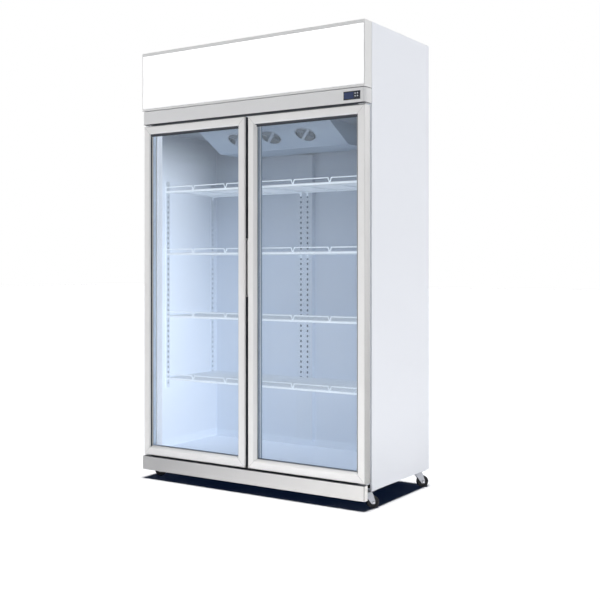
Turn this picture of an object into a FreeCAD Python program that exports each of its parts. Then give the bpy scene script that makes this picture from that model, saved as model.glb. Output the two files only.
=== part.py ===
import FreeCAD, Part
import Sketcher
import os
import re

# Two-door upright display refrigerator on castors with an illuminated header.
# Millimetres, +Z up, the doors face -Y, the origin is on the floor under the middle of the cabinet.

SIZES = [
    # cabinet shell
    ("body_width", 1220, "outer width over the side panels"),
    ("overall_depth", 600, "door front to rear edge"),
    ("steel_sheet", 1.2, "outer steel sheet"),
    ("front_return", 12, "side panel return at the front"),
    ("rear_return", 15, "side panel return at the rear"),
    ("bend_radius", 2.5, "outer bend of folded sheet"),
    ("castor_height", 75, "floor to the base pan"),
    ("overcut", 1, "how far a cutter reaches past the face it opens"),
    ("vent_length", 340, "cooling slot length"),
    ("vent_height", 9, "cooling slot height"),
    ("vent_pitch", 22, "between cooling slots"),
    ("vent_offset", 280, "middle of a slot bank from the centre line"),
    ("vent_rise", 90, "lowest cooling slot above the roof"),
    ("seat_gap", 0.3, "play between pieces that sit in or on each other"),
    ("gland_radius", 9, "cable gland barrel"),
    ("gland_rim", 4, "gland flange around its barrel"),
    ("gland_wall", 5, "gland wall"),
    ("gland_reach", 14, "gland barrel inside the back sheet"),
    ("gland_side", 90, "gland from the side panel face"),
    ("gland_rise", 60, "gland above the roof"),
    # front stack from the floor up
    ("kick_ground", 42, "floor to the kick plate"),
    ("kick_height", 62, "kick plate height"),
    ("lower_gap", 7, "kick plate to doors"),
    ("door_height", 1563, "door leaf height"),
    ("upper_gap", 9, "doors to fascia"),
    ("fascia_height", 60, "control fascia height"),
    ("sign_groove", 3, "shadow line under the sign"),
    ("sign_height", 275, "header sign height"),
    # insulated walls
    ("wall_thickness", 50, "side wall with liner"),
    ("back_thickness", 90, "back wall with liner"),
    ("floor_level", 135, "inside floor above ground"),
    ("ceiling_level", 1650, "inside ceiling above ground"),
    ("roof_thickness", 50, "insulated roof"),
    ("liner_sheet", 1.2, "white liner sheet"),
    ("jamb_depth", 31, "depth of the door jambs"),
    ("mullion_width", 60, "centre post width"),
    # kick plate
    ("kick_inset", 4, "kick plate end behind the side panel face"),
    ("kick_sheet", 1.5, "kick plate sheet"),
    ("kick_return", 28, "kick plate end return"),
    ("kick_round", 6, "kick plate corner"),
    ("kick_tab_inset", 46, "fixing flange end behind the kick plate end"),
    # header sign and fascia
    ("sign_inset", 2, "sign end behind the side panel face"),
    ("sign_cap", 5, "sign end cap width"),
    ("sign_corner", 3, "rounded front corners of the sign"),
    ("fascia_round", 16, "rounded front corners of the fascia"),
    ("sign_lip", 4, "thickness of the lips that hold the sign panel"),
    ("sign_top_lip", 15.5, "height of the upper lip"),
    ("sign_foot_lip", 11, "height of the lower lip"),
    ("sign_flange", 2, "sheet of the sign rails"),
    ("sign_acrylic", 3, "translucent sign panel"),
    ("reflector_back", 3, "reflector in front of the cabinet face"),
    ("lamp_radius", 13, "sign lamp tube"),
    ("lamp_end_gap", 10, "lamp holder to end cap"),
    ("lamp_depth", 27, "lamp axis behind the front plane"),
    ("lamp_spacing", 120, "between the two lamps"),
    ("holder_length", 20, "lamp holder"),
    ("holder_margin", 3, "lamp holder around the tube"),
    ("fascia_setback", 2.5, "fascia face behind the front plane"),
    ("fascia_sheet", 2, "fascia sheet"),
    # controller
    ("controller_side", 62, "middle of the controller from the fascia end"),
    ("controller_width", 79, "controller bezel width"),
    ("controller_height", 35, "controller bezel height"),
    ("controller_proud", 1.7, "bezel in front of the fascia"),
    ("controller_rim", 4, "bezel overlap around its cut-out"),
    ("controller_body", 36, "controller box depth"),
    ("window_width", 44, "display window width"),
    ("window_height", 26, "display window height"),
    ("window_offset", -13.5, "window middle from the controller middle"),
    ("window_deep", 1.2, "display lens thickness"),
    ("key_radius", 2.9, "key radius"),
    ("key_clearance", 0.4, "ring gap around a key"),
    ("key_length", 6, "key length"),
    ("key_travel", 0.8, "key stroke"),
    ("key_offset", 22, "key block middle from the controller middle"),
    ("key_rise", 2, "key block above the controller middle"),
    ("key_pitch", 11, "between keys"),
    # doors
    ("door_inset", 6, "door edge behind the side panel face"),
    ("centre_gap", 14, "gap between the doors"),
    ("door_setback", 9, "front plane to the doors"),
    ("door_thickness", 43, "door frame depth"),
    ("frame_flat", 32, "flat face of the door frame"),
    ("frame_bevel", 11, "inner bevel of the door frame"),
    ("frame_lip", 2, "lip in front of the glass"),
    ("frame_round", 5, "rounded outer edge of the door frame"),
    ("free_round", 9, "rounded front corner of the free stile"),
    ("glass_bite", 9, "glass edge inside the frame channel"),
    ("edge_play", 1, "glass edge to channel bottom"),
    ("pane_thickness", 5, "glass pane"),
    ("pane_gap", 12, "gap between panes"),
    ("gasket_inset", 15, "gasket from the door edge"),
    ("gasket_width", 16, "gasket width"),
    ("gasket_thickness", 6.7, "gasket thickness"),
    ("seal_clearance", 0.3, "gasket to jamb"),
    ("grip_length", 250, "finger grip length"),
    ("grip_middle", 1002, "finger grip middle above ground"),
    ("grip_front", 9, "finger grip behind the door face"),
    ("grip_width", 20, "finger grip front to back"),
    ("grip_reach", 17, "finger grip depth into the stile"),
    ("grip_wall", 1.8, "finger grip shell"),
    # hinges
    ("hinge_inset", 15, "pivot from the door edge"),
    ("hinge_back", 21, "pivot behind the door face"),
    ("hinge_plate", 3.5, "hinge plate thickness"),
    ("hinge_width", 36, "hinge plate width"),
    ("hinge_leg", 22, "hinge plate leg"),
    ("pin_radius", 4, "hinge pin"),
    ("pin_length", 22, "hinge pin inside the door"),
    ("running_clearance", 0.05, "radial play of turning pins"),
    ("collar_radius", 7, "thrust collar under a door"),
    ("thrust_gap", 0.3, "collar to door"),
    ("bore_end", 2, "bore beyond the end of its pin"),
    ("hinge_edge", 1, "hinge plate inside the door edge"),
    ("hinge_overhang", 11, "hinge plate in front of the pivot"),
    ("hinge_drop", 2, "upper hinge plate below the fascia"),
    ("hinge_lift", 1, "lower hinge plate above the kick plate"),
    # shelving
    ("shelf_first", 470, "lowest shelf above ground"),
    ("shelf_pitch", 300, "between shelves"),
    ("shelf_inner", 8, "shelf end from the centre line"),
    ("shelf_wall_gap", 12, "shelf end to side wall"),
    ("shelf_front", 99, "shelf front behind the front plane"),
    ("shelf_rear_gap", 3, "shelf back to duct"),
    ("strip_height", 7.5, "shelf front strip height"),
    ("strip_depth", 5, "shelf front strip depth"),
    ("strip_crest", 0.5, "strip above the bearers"),
    ("deck_fore", 19, "first deck wire behind the shelf front"),
    ("deck_rear", 17, "last deck wire from the shelf back"),
    ("bar_radius", 3, "shelf bearer wire"),
    ("back_bar_radius", 3.5, "shelf back bar"),
    ("bearer_inset", 6, "outermost bearer from the shelf end"),
    ("wire_radius", 1.75, "shelf deck wire"),
    ("weld_sink", 0.4, "deck wire sunk into its bearers"),
    ("guard_radius", 2.2, "front guard wire"),
    ("guard_rise", 20, "guard wire above the strip"),
    ("guard_dip", 9, "half width of a guard dip"),
    ("dip_flat", 2, "half width of a dip's bottom"),
    ("dip_inner", 179, "inner guard dip from the shelf's inner end"),
    ("dip_outer", 170, "outer guard dip from the shelf's outer end"),
    ("slot_pitch", 25, "shelf standard pitch"),
    ("slot_width", 6, "shelf standard slot width"),
    ("slot_height", 9, "shelf standard slot height"),
    ("strip_width", 24, "side shelf standard width"),
    ("strip_proud", 4.5, "side shelf standard thickness"),
    ("strip_fore", 128, "front shelf standard behind the front plane"),
    ("strip_rear", 35, "rear shelf standard in front of the back wall"),
    ("duct_width", 92, "rear duct width"),
    ("duct_depth", 25, "rear duct depth"),
    ("duct_sheet", 1.5, "rear duct sheet"),
    ("duct_slots", 19, "rear duct slots from the centre line"),
    ("duct_foot", 30, "rear duct above the inside floor"),
    ("duct_head", 8, "rear duct below the evaporator cover"),
    ("clip_width", 9, "shelf clip width"),
    ("clip_arm", 2, "shelf clip arm thickness"),
    ("clip_drop", 14, "shelf clip tongue height"),
    ("clip_tongue", 2, "shelf clip tongue thickness"),
    ("clip_reach", 14, "shelf clip arm in front of the duct"),
    ("clip_lap", 12, "shelf clip arm under the shelf end"),
    # evaporator
    ("cover_reach", 362, "half width of the evaporator cover"),
    ("cover_fore", 115, "cover start at the ceiling behind the front plane"),
    ("cover_run", 175, "length of the sloping face, front to back"),
    ("cover_drop", 96, "cover height"),
    ("cover_sheet", 1.2, "cover sheet"),
    ("cover_rear_gap", 10, "cover to back wall"),
    ("fan_pitch", 189, "between fans"),
    ("fan_opening", 48, "fan opening radius"),
    ("fan_radius", 43, "fan blade tip radius"),
    ("hub_radius", 14, "fan hub radius"),
    ("hub_height", 14, "fan hub height"),
    ("fan_set", 6, "fan front behind the cover face"),
    ("shaft_radius", 3, "fan shaft"),
    ("shaft_length", 9, "fan shaft inside the motor"),
    ("blade_chord", 24, "fan blade chord"),
    ("blade_pitch", 28, "fan blade pitch in degrees"),
    ("blade_sheet", 1.6, "fan blade thickness"),
    ("blade_root", 2, "blade root inside its hub"),
    ("hub_gap", 1, "fan hub to motor"),
    ("motor_radius", 17, "fan motor radius"),
    ("motor_length", 20, "fan motor length"),
    ("strap_width", 14, "motor strap width"),
    ("strap_sheet", 3, "motor strap thickness"),
    ("strap_lap", 8, "motor strap beyond the fan opening"),
    ("leg_sheet", 4, "motor leg thickness"),
    ("rim_lap", 4, "fan guard rim outside the opening"),
    ("rim_sheet", 1.5, "fan guard rim thickness"),
    ("hoop_wire", 1.1, "fan guard hoop wire radius"),
    ("bar_sheet", 2, "fan guard bar thickness"),
    ("bar_wide", 12, "broad fan guard bar"),
    ("bar_slim", 3, "slim fan guard bar"),
    ("coil_side_gap", 42, "evaporator fins to the cover end"),
    ("coil_depth", 160, "evaporator coil front to back"),
    ("coil_rear_gap", 15, "evaporator coil to cover"),
    ("coil_foot", 14, "evaporator fins above the cover bottom"),
    ("coil_head", 8, "evaporator fins below the ceiling"),
    ("coil_plate", 2, "evaporator end plate"),
    ("coil_lip", 4, "end plate below the fins"),
    ("tube_radius", 5, "evaporator tube"),
    ("tube_reach", 14, "evaporator tube beyond the fins"),
    ("tube_pitch", 24, "between evaporator tubes"),
    ("tube_rise", 22, "between the two tube rows"),
    ("tube_edge", 20, "first tube from the front and foot of the fins"),
    # condensing unit
    ("tray_sheet", 1.5, "condensing unit tray"),
    ("compressor_radius", 78, "compressor shell radius"),
    ("compressor_height", 185, "compressor shell height"),
    ("compressor_side", 300, "compressor left of the centre line"),
    ("compressor_back", 242.6, "compressor in front of the back sheet"),
    ("compressor_foot", 14, "foot ring around the shell"),
    ("compressor_step", 6, "foot ring height"),
    ("compressor_seam", 4, "weld seam around the shell"),
    ("stub_radius", 6, "compressor pipe stub"),
    ("stub_reach", 24, "pipe stub outside the shell"),
    ("stub_spread", 22, "pipe stub from the shell middle"),
    ("stub_rise", 65, "pipe stub above the foot"),
    ("start_box_size", 60, "start box width and height"),
    ("start_box_proud", 30, "start box outside the shell"),
    ("condenser_width", 380, "condenser width"),
    ("condenser_height", 250, "condenser height"),
    ("condenser_depth", 55, "condenser depth"),
    ("condenser_side", 180, "condenser right of the centre line"),
    ("condenser_gap", 20, "condenser to back sheet"),
    ("shroud_depth", 40, "fan shroud depth"),
    ("shroud_sheet", 1.5, "fan shroud sheet"),
    ("big_fan_radius", 105, "condenser fan tip radius"),
    ("big_tip_gap", 7, "condenser fan tip to shroud"),
    ("big_hub_radius", 28, "condenser fan hub radius"),
    ("big_hub_height", 22, "condenser fan hub height"),
    ("big_chord", 62, "condenser fan blade chord"),
    ("big_pitch", 27, "condenser fan blade pitch in degrees"),
    ("big_shaft", 12, "condenser fan shaft inside the motor"),
    ("big_motor_radius", 32, "condenser fan motor radius"),
    ("big_motor_length", 60, "condenser fan motor length"),
    ("big_motor_gap", 20, "condenser fan motor to shroud"),
    ("stand_width", 30, "motor stand width"),
    # castors
    ("castor_side", 28, "castor swivel from the side panel face"),
    ("castor_fore", 70, "front swivel behind the front plane"),
    ("castor_rear", 61, "rear swivel from the rear edge"),
    ("castor_plate", 54, "castor top plate side"),
    ("castor_sheet", 2.5, "castor plate and fork sheet"),
    ("castor_trail", 22, "wheel axle behind the swivel"),
    ("castor_turn", -45, "way the wheels point at rest"),
    ("wheel_radius", 26, "wheel radius"),
    ("wheel_width", 22, "wheel tread width"),
    ("hub_width", 25, "wheel hub width"),
    ("side_play", 0.5, "hub to fork leg"),
    ("axle_radius", 4, "wheel axle and king pin"),
    ("axle_proud", 1.5, "axle end outside the fork"),
    ("race_radius", 18, "swivel race radius"),
    ("race_height", 4, "swivel race height"),
    ("race_play", 0.5, "swivel race to fork crown"),
    ("crown_height", 5, "fork crown height"),
    ("fork_fore", 15, "fork crown in front of the swivel"),
    ("fork_rear", 17, "fork crown behind the swivel"),
    ("fork_waist", 4, "fork leg below the crown at its front"),
    ("fork_cheek", 7, "fork leg around the axle"),
    ("king_drop", 18, "king pin end below the base pan"),
    ("king_flange", 3, "king pin head rim and thickness"),
    ("hub_boss", 6, "wheel hub wall"),
    ("web_inset", 4, "wheel web behind the tread side"),
    ("tyre_depth", 6, "wheel rim depth"),
    ("tyre_round", 2, "wheel tread chamfer"),
]

doc = FreeCAD.newDocument("DisplayRefrigerator")
sheet = doc.addObject("Spreadsheet::Sheet", "Sizes")
for row, (alias, value, note) in enumerate(SIZES, start=1):
    sheet.set(f"A{row}", note)
    sheet.set(f"B{row}", str(value))
    sheet.setAlias(f"B{row}", alias)
doc.recompute()
ALIASES = {alias for alias, value, note in SIZES}
NODES = []


def sized(text):
    """The expression with every size name pointing at its cell."""
    return re.sub(r"[a-z_]+", lambda m: f"Sizes.{m.group()}" if m.group() in ALIASES else m.group(), text)


def bind(item, prop, text):
    item.setExpression(prop, sized(text))


def number(text):
    return float(sheet.evalExpression(sized(text)))


def deep(text):
    """Y of a point this far behind the front plane."""
    return f"({text} - overall_depth / 2)"


def node(item):
    NODES.append(item)
    return item


def block(label, x, y, z):
    """A box given by its low and high corner on each axis."""
    solid = doc.addObject("Part::Box", label)
    for edge, axis, (low, high) in (("Length", "x", x), ("Width", "y", y), ("Height", "z", z)):
        bind(solid, edge, f"({high}) - ({low})")
        bind(solid, f"Placement.Base.{axis}", low)
    return solid


def rod(label, axis, radius, low, high, across):
    """A cylinder along one axis; across holds the other two coordinates in x, y, z order."""
    solid = doc.addObject("Part::Cylinder", label)
    way = FreeCAD.Vector(axis == "x", axis == "y", axis == "z")
    solid.Placement = FreeCAD.Placement(FreeCAD.Vector(), FreeCAD.Rotation(FreeCAD.Vector(0, 0, 1), way))
    bind(solid, "Radius", radius)
    bind(solid, "Height", f"({high}) - ({low})")
    places = iter(across)
    for name in "xyz":
        bind(solid, f"Placement.Base.{name}", low if name == axis else next(places))
    return solid


def fused(label, *items):
    result = doc.addObject("Part::MultiFuse", label)
    result.Shapes = list(items)
    return result


def cut(label, base, *tools):
    tool = tools[0]
    if len(tools) > 1:
        tool = doc.addObject("Part::Compound", label + "_tools")
        tool.Links = list(tools)
    result = doc.addObject("Part::Cut", label)
    result.Base = base
    result.Tool = tool
    return result


def common(label, *items):
    result = doc.addObject("Part::MultiCommon", label)
    result.Shapes = list(items)
    return result


def group(label, *items):
    """Separate solids kept together under one name."""
    result = doc.addObject("Part::Compound", label)
    result.Links = list(items)
    return result


def mirrored(label, source):
    result = doc.addObject("Part::Mirroring", label)
    result.Source = source
    result.Normal = (1, 0, 0)
    return result


def copied(label, source, x="0", y="0", z="0", turn=None):
    """The source set down again; turn is an axis with its angle."""
    result = group(label, source)
    if turn:
        axis, angle = turn
        result.Placement = FreeCAD.Placement(FreeCAD.Vector(), FreeCAD.Rotation(FreeCAD.Vector(*axis), 1))
        bind(result, "Placement.Rotation.Angle", angle)
    for name, text in zip("xyz", (x, y, z)):
        bind(result, f"Placement.Base.{name}", text)
    return result


def outline(sketch, points, closed=True):
    """Straight lines through the points, each held by its two coordinates."""
    spots = [FreeCAD.Vector(number(u), number(v), 0) for u, v in points]
    ends = spots[1:] + spots[:1] if closed else spots[1:]
    for start, end in zip(spots, ends):
        sketch.addGeometry(Part.LineSegment(start, end), False)
    for line in range(1, len(ends)):
        sketch.addConstraint(Sketcher.Constraint("Coincident", line - 1, 2, line, 1))
    if closed:
        sketch.addConstraint(Sketcher.Constraint("Coincident", len(ends) - 1, 2, 0, 1))
    for i, (texts, spot) in enumerate(zip(points, spots)):
        line, end = (i, 1) if i < len(ends) else (i - 1, 2)
        for kind, text, value in (("DistanceX", texts[0], spot.x), ("DistanceY", texts[1], spot.y)):
            held = sketch.addConstraint(Sketcher.Constraint(kind, -1, 1, line, end, value))
            name = f"{kind}{i}"
            sketch.renameConstraint(held, name)
            bind(sketch, f"Constraints.{name}", text)


def sketch_in(body, plane, label):
    sketch = body.newObject("Sketcher::SketchObject", label)
    face = next(f for f in body.Origin.OriginFeatures if f.Role == plane)
    sketch.AttachmentSupport = [(face, "")]
    sketch.MapMode = "FlatFace"
    return sketch


def padded(label, axis, points, low, high, rounds=()):
    """A profile pushed along one axis from low to high; rounds holds radii with the corners they round."""
    body = doc.addObject("PartDesign::Body", label)
    plane = {"x": "YZ_Plane", "y": "XZ_Plane", "z": "XY_Plane"}[axis]
    sketch = sketch_in(body, plane, label + "_profile")
    bind(sketch, "AttachmentOffset.Base.z", f"-({high})" if axis == "y" else low)
    outline(sketch, points)
    pad = body.newObject("PartDesign::Pad", label + "_pad")
    pad.Profile = sketch
    bind(pad, "Length", f"({high}) - ({low})")
    last = pad
    for radius, corners in rounds:
        doc.recompute()
        wanted = [(number(points[c][0]), number(points[c][1])) for c in corners]
        seen = {"x": ("y", "z"), "y": ("x", "z"), "z": ("x", "y")}[axis]
        edges = []
        for i, edge in enumerate(last.Shape.Edges, start=1):
            flat = [tuple(getattr(v.Point, name) for name in seen) for v in edge.Vertexes]
            for u, v in wanted:
                if len(flat) == 2 and all(abs(a - u) < 1e-4 and abs(b - v) < 1e-4 for a, b in flat):
                    edges.append(f"Edge{i}")
        fillet = body.newObject("PartDesign::Fillet", label + "_round")
        fillet.Base = (last, edges)
        bind(fillet, "Radius", radius)
        last = fillet
    return body


def turned(label, points):
    """A profile of radius and height turned about Z."""
    body = doc.addObject("PartDesign::Body", label)
    sketch = sketch_in(body, "XZ_Plane", label + "_profile")
    outline(sketch, points)
    turn = body.newObject("PartDesign::Revolution", label + "_turn")
    turn.Profile = sketch
    turn.ReferenceAxis = (sketch, ["V_Axis"])
    turn.Angle = 360
    return body


def slotted(body, plane, offset, places, through, count):
    """A column of rectangular slots let into a body, one per pitch going up."""
    pad = body.Tip
    sketch = sketch_in(body, plane, body.Name + "_slot")
    bind(sketch, "AttachmentOffset.Base.z", offset)
    low, high = "shelf_first - slot_pitch - slot_height / 2", "shelf_first - slot_pitch + slot_height / 2"
    for middle in places:
        sides = f"({middle}) - slot_width / 2", f"({middle}) + slot_width / 2"
        first = sketch.GeometryCount
        corners = [(sides[0], low), (sides[1], low), (sides[1], high), (sides[0], high)]
        spots = [FreeCAD.Vector(number(u), number(v), 0) for u, v in corners]
        for start, end in zip(spots, spots[1:] + spots[:1]):
            sketch.addGeometry(Part.LineSegment(start, end), False)
        for i, (texts, spot) in enumerate(zip(corners, spots)):
            sketch.addConstraint(Sketcher.Constraint("Coincident", first + i, 2, first + (i + 1) % 4, 1))
            for kind, text, value in (("DistanceX", texts[0], spot.x), ("DistanceY", texts[1], spot.y)):
                held = sketch.addConstraint(Sketcher.Constraint(kind, -1, 1, first + i, 1, value))
                sketch.renameConstraint(held, f"{kind}{first + i}")
                bind(sketch, f"Constraints.{kind}{first + i}", text)
    pocket = body.newObject("PartDesign::Pocket", body.Name + "_pocket")
    pocket.Profile = sketch
    pocket.Midplane = True
    bind(pocket, "Length", through)
    pattern = body.newObject("PartDesign::LinearPattern", body.Name + "_column")
    pattern.Originals = [pocket]
    axis = next(f for f in body.Origin.OriginFeatures if f.Role == "Z_Axis")
    pattern.Direction = (axis, [""])
    bind(pattern, "Length", f"slot_pitch * ({count} - 1)")
    pattern.Occurrences = count
    body.Tip = pattern
    return pad


# Shared positions, named once.
HALF = "(body_width / 2)"
FRONT = deep("0")
REAR = "(overall_depth / 2)"
SKIN_IN = f"({HALF} - steel_sheet)"
INNER = f"({HALF} - wall_thickness)"
BODY_FRONT = deep("(door_setback + door_thickness + gasket_thickness + seal_clearance)")
JAMB_BACK = f"({BODY_FRONT} + jamb_depth)"
BACK_IN = f"({REAR} - back_thickness)"
BACK_SHEET = f"({REAR} - 2 * steel_sheet)"
PAN_TOP = "(castor_height + steel_sheet)"
ROOF = "(ceiling_level + roof_thickness)"
KICK_TOP = "(kick_ground + kick_height)"
DOOR_FOOT = f"({KICK_TOP} + lower_gap)"
DOOR_HEAD = f"({DOOR_FOOT} + door_height)"
FASCIA_FOOT = f"({DOOR_HEAD} + upper_gap)"
FASCIA_HEAD = f"({FASCIA_FOOT} + fascia_height)"
SIGN_FOOT = f"({FASCIA_HEAD} + sign_groove)"
TOP = f"({SIGN_FOOT} + sign_height)"
LEVELS = [f"(shelf_first + {n} * shelf_pitch)" for n in range(4)]
SLOTS = 38

# Folded side panels.
FOLD = [
    (f"-{HALF}", BODY_FRONT),
    (f"-{HALF} + front_return", BODY_FRONT),
    (f"-{HALF} + front_return", f"{BODY_FRONT} + steel_sheet"),
    (f"-{SKIN_IN}", f"{BODY_FRONT} + steel_sheet"),
    (f"-{SKIN_IN}", f"{REAR} - steel_sheet"),
    (f"-{HALF} + rear_return", f"{REAR} - steel_sheet"),
    (f"-{HALF} + rear_return", REAR),
    (f"-{HALF}", REAR),
]
left_side = node(padded("left_side_panel", "z", FOLD, "castor_height", TOP, [("bend_radius", (0, 7))]))
node(mirrored("right_side_panel", left_side))

# Back sheet with two banks of cooling slots and the cable hole.
GLAND = (f"({HALF} - gland_side)", f"({ROOF} + gland_rise)")
SHEET_CUT = (f"{BACK_SHEET} - overcut", REAR)
VENTS = 9
slots = []
for bank in (-1, 1):
    side = (f"{bank} * vent_offset - vent_length / 2", f"{bank} * vent_offset + vent_length / 2")
    for n in range(VENTS):
        low = f"{ROOF} + vent_rise + {n} * vent_pitch"
        slots.append(block(f"cooling_slot_{len(slots)}", side, SHEET_CUT, (low, f"{low} + vent_height")))
slots.append(rod("gland_hole", "y", "gland_radius + seat_gap", *SHEET_CUT, GLAND))
SHEET_BACK = f"({REAR} - steel_sheet)"
back_sheet = block("back_sheet", (f"-{SKIN_IN}", SKIN_IN), (BACK_SHEET, SHEET_BACK), ("castor_height", TOP))
node(cut("back_panel", back_sheet, *slots))
GLAND_IN = f"{BACK_SHEET} - gland_reach"
gland = fused("gland_body",
              rod("gland_flange", "y", "gland_radius + gland_rim", SHEET_BACK, REAR, GLAND),
              rod("gland_barrel", "y", "gland_radius", GLAND_IN, SHEET_BACK, GLAND))
node(cut("cable_gland", gland,
         rod("gland_bore", "y", "gland_radius - gland_wall", f"{GLAND_IN} - overcut", f"{REAR} + overcut",
             GLAND)))

INSIDE = (f"-{SKIN_IN}", SKIN_IN)
node(block("top_cover", INSIDE, (f"{BODY_FRONT} + steel_sheet", BACK_SHEET), (f"{TOP} - steel_sheet", TOP)))
node(block("base_pan", INSIDE, (f"{BODY_FRONT} + steel_sheet", BACK_SHEET), ("castor_height", PAN_TOP)))

# Insulation slabs and the white liner sheets in front of them.
LINED = f"({INNER} + liner_sheet)"
WIDE = (f"-{INNER}", INNER)
LINER_BACK = f"({BACK_IN} + liner_sheet)"
side_foam = block("foam_left", (f"-{SKIN_IN}", f"-{LINED}"), (JAMB_BACK, BACK_SHEET), (PAN_TOP, ROOF))
node(group(
    "insulation_foam",
    side_foam,
    mirrored("foam_right", side_foam),
    block("foam_back", (f"-{LINED}", LINED), (LINER_BACK, BACK_SHEET), (PAN_TOP, ROOF)),
    block("foam_roof", (f"-{LINED}", LINED), (JAMB_BACK, LINER_BACK), ("ceiling_level + liner_sheet", ROOF)),
    block("foam_floor", (f"-{LINED}", LINED), (JAMB_BACK, LINER_BACK),
          (PAN_TOP, "floor_level - liner_sheet")),
))
TALL = ("floor_level - liner_sheet", "ceiling_level + liner_sheet")
side_liner = block("liner_left", (f"-{LINED}", f"-{INNER}"), (JAMB_BACK, LINER_BACK), TALL)
node(group(
    "inner_liner",
    side_liner,
    mirrored("liner_right", side_liner),
    block("liner_back", WIDE, (BACK_IN, LINER_BACK), TALL),
    block("liner_ceiling", WIDE, (JAMB_BACK, BACK_IN), ("ceiling_level", "ceiling_level + liner_sheet")),
    block("liner_floor", WIDE, (JAMB_BACK, BACK_IN), ("floor_level - liner_sheet", "floor_level")),
))

# Door jambs and centre post.
STEP = f"(-{HALF} + front_return)"
side_jamb = padded("jamb_left", "z", [
    (STEP, BODY_FRONT),
    (f"-{INNER}", BODY_FRONT),
    (f"-{INNER}", JAMB_BACK),
    (f"-{SKIN_IN}", JAMB_BACK),
    (f"-{SKIN_IN}", f"{BODY_FRONT} + steel_sheet"),
    (STEP, f"{BODY_FRONT} + steel_sheet"),
], PAN_TOP, ROOF)
node(group(
    "door_jambs",
    side_jamb,
    mirrored("jamb_right", side_jamb),
    block("jamb_top", WIDE, (BODY_FRONT, JAMB_BACK), ("ceiling_level", ROOF)),
    block("jamb_bottom", WIDE, (BODY_FRONT, JAMB_BACK), (PAN_TOP, "floor_level")),
))
POST = ("-mullion_width / 2", "mullion_width / 2")
node(block("centre_mullion", POST, (BODY_FRONT, JAMB_BACK), ("floor_level", "ceiling_level")))

# Kick plate: a folded front with end returns and a flange along the top.
KICK_END = f"({HALF} - kick_inset)"
KICK = [
    (f"-{KICK_END}", FRONT),
    (KICK_END, FRONT),
    (KICK_END, f"{FRONT} + kick_return"),
    (f"{KICK_END} - kick_sheet", f"{FRONT} + kick_return"),
    (f"{KICK_END} - kick_sheet", f"{FRONT} + kick_sheet"),
    (f"-{KICK_END} + kick_sheet", f"{FRONT} + kick_sheet"),
    (f"-{KICK_END} + kick_sheet", f"{FRONT} + kick_return"),
    (f"-{KICK_END}", f"{FRONT} + kick_return"),
]
kick_face = padded("kick_face", "z", KICK, "kick_ground", KICK_TOP,
                   [("kick_round", (0, 1)), ("kick_round - kick_sheet", (4, 5))])
KICK_TAB = f"({KICK_END} - kick_tab_inset)"
kick_flange = block("kick_flange", (f"-{KICK_TAB}", KICK_TAB),
                    (f"{FRONT} + kick_sheet / 2", BODY_FRONT), (f"{KICK_TOP} - kick_sheet", KICK_TOP))
node(fused("kick_plate", kick_face, kick_flange))

# Header sign: rails, end caps, translucent panel, reflector and lamps.
SIGN_HALF = f"({HALF} - sign_inset)"
SIGN_IN = f"({SIGN_HALF} - sign_cap)"
SIGN_WIDE = (f"-{SIGN_IN}", SIGN_IN)
LIP = f"({FRONT} + sign_lip)"


def sign_rail(label, edge, way, lip):
    return padded(label, "x", [
        (FRONT, edge),
        (BODY_FRONT, edge),
        (BODY_FRONT, f"{edge} {way} sign_flange"),
        (LIP, f"{edge} {way} sign_flange"),
        (LIP, f"{edge} {way} {lip}"),
        (FRONT, f"{edge} {way} {lip}"),
    ], *SIGN_WIDE)


end_cap = padded("sign_cap_left", "z", [
    (f"-{SIGN_HALF}", FRONT),
    (f"-{SIGN_IN}", FRONT),
    (f"-{SIGN_IN}", BODY_FRONT),
    (f"-{SIGN_HALF}", BODY_FRONT),
], SIGN_FOOT, TOP, [("sign_corner", (0,))])
node(group(
    "sign_frame",
    sign_rail("sign_rail_top", TOP, "-", "sign_top_lip"),
    sign_rail("sign_rail_foot", SIGN_FOOT, "+", "sign_foot_lip"),
    end_cap,
    mirrored("sign_cap_right", end_cap),
))
SIGN_TALL = (f"{SIGN_FOOT} + sign_flange", f"{TOP} - sign_flange")
node(block("sign_panel", SIGN_WIDE, (LIP, f"{LIP} + sign_acrylic"), SIGN_TALL))
LAMP_Y = deep("lamp_depth")
SIGN_MIDDLE = f"({SIGN_FOOT} + sign_height / 2)"
REFLECTOR = (f"{BODY_FRONT} - reflector_back - steel_sheet", f"{BODY_FRONT} - reflector_back")
LAMP_END = f"({SIGN_IN} - lamp_end_gap - holder_length)"
HOLDER_HALF = "(lamp_radius + holder_margin)"
lamps = []
holders = [block("reflector_sheet", SIGN_WIDE, REFLECTOR, SIGN_TALL)]
for side in (-1, 1):
    height = f"({SIGN_MIDDLE} + {side} * lamp_spacing / 2)"
    lamps.append(rod(f"lamp_{len(lamps)}", "x", "lamp_radius", f"-{LAMP_END}", LAMP_END, (LAMP_Y, height)))
    for end in (-1, 1):
        near = f"{end} * ({LAMP_END} + holder_length / 2)"
        holders.append(block(f"lamp_holder_{len(holders)}",
                             (f"{near} - holder_length / 2", f"{near} + holder_length / 2"),
                             (f"{LAMP_Y} - lamp_radius", REFLECTOR[0]),
                             (f"{height} - {HOLDER_HALF}", f"{height} + {HOLDER_HALF}")))
node(fused("sign_reflector", *holders))
node(group("sign_lamps", *lamps))

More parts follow.
